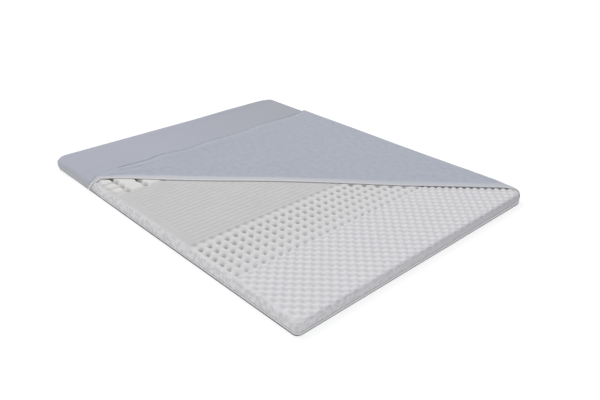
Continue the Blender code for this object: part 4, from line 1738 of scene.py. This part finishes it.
@dataclass
class Studio:
    """Pale floor, soft light and the camera at the photograph's angle."""

    camera_place: tuple = (-2.02830535, -2.28957647, 1.49052574)
    azimuth: float = -0.762247549
    pitch: float = 0.479653273
    roll: float = 0.0155656
    lens: float = 37.757
    sensor: float = 36.0
    floor_size: float = 60.0
    world_colour: tuple = (0.97, 0.98, 1.0, 1.0)
    world_strength: float = 0.68
    key_from: tuple = (0.4, 3.0, 3.6)
    key_angle: float = 0.80
    key_strength: float = 1.30

    def add_floor(self) -> None:
        """Add the floor."""
        bpy.ops.object.select_all(action="DESELECT")
        bpy.ops.mesh.primitive_plane_add(size=self.floor_size)
        floor = bpy.context.active_object
        floor.name = "studio_floor"
        floor.data.materials.append(FloorFinish().make())

    def add_key(self) -> None:
        """Add a far, broad light that falls on the whole floor evenly."""
        light = bpy.data.lights.new("key_light", "SUN")
        light.angle = self.key_angle
        light.energy = self.key_strength
        lamp = bpy.data.objects.new("key_light", light)
        lamp.location = self.key_from
        lamp.rotation_euler = (-Vector(self.key_from)).to_track_quat("-Z", "Y").to_euler()
        bpy.context.scene.collection.objects.link(lamp)

    def add_camera(self) -> None:
        """Add the camera."""
        level = math.cos(self.pitch)
        ahead_x = -math.sin(self.azimuth) * level
        ahead_y = math.cos(self.azimuth) * level
        ahead = Vector((ahead_x, ahead_y, -math.sin(self.pitch)))
        right = ahead.cross(Vector((0.0, 0.0, 1.0))).normalized()
        up = right.cross(ahead)
        right, up = (
            math.cos(self.roll) * right + math.sin(self.roll) * up,
            math.cos(self.roll) * up - math.sin(self.roll) * right,
        )
        data = bpy.data.cameras.new("photo_camera")
        data.lens = self.lens
        data.sensor_width = self.sensor
        data.sensor_fit = "HORIZONTAL"
        camera = bpy.data.objects.new("photo_camera", data)
        turn = Matrix((right, up, -ahead)).transposed().to_4x4()
        camera.matrix_world = Matrix.Translation(self.camera_place) @ turn
        bpy.context.scene.collection.objects.link(camera)
        bpy.context.scene.camera = camera

    def add_world(self) -> None:
        """Light the scene evenly from all round."""
        world = bpy.data.worlds.new("studio_world")
        world.use_nodes = True
        back = world.node_tree.nodes["Background"]
        back.inputs["Color"].default_value = self.world_colour
        back.inputs["Strength"].default_value = self.world_strength
        bpy.context.scene.world = world
        bpy.context.scene.view_settings.view_transform = "Standard"

    def make(self) -> None:
        """Set up everything."""
        self.add_floor()
        self.add_key()
        self.add_world()
        self.add_camera()


def main() -> None:
    """Build the topper's looks and the studio."""
    logging.basicConfig(level=logging.INFO, format="%(name)s: %(message)s")
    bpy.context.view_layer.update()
    outer = KnitFinish().make()
    inner = MeshFinish().make()
    slab = FoamSlab().make(FoamFinish().make())
    LOG.info("foam slab: %d faces", len(slab.data.polygons))
    upper = UpperCover().make(outer, inner)
    LOG.info("upper half of the cover: %d faces", len(upper.data.polygons))
    lower = LowerCover().make(HemFinish().make())
    LOG.info("lower half of the cover: %d faces", len(lower.data.polygons))
    zipper = Zip()
    tooth = ToothFinish().make()
    zipper.make_upper(TapeFinish().make(), tooth)
    zipper.make_chain(tooth)
    pale = {"light": (0.82, 0.82, 0.83), "dark": (0.76, 0.76, 0.77)}
    pale_tape = TapeFinish("zip_tape_lower", **pale).make()
    zipper.make_lower(pale_tape, ToothFinish("zip_tooth_lower", **pale).make())
    LOG.info("zip: tapes, teeth and chain")
    Studio().make()


if __name__ == "__main__":
    main()
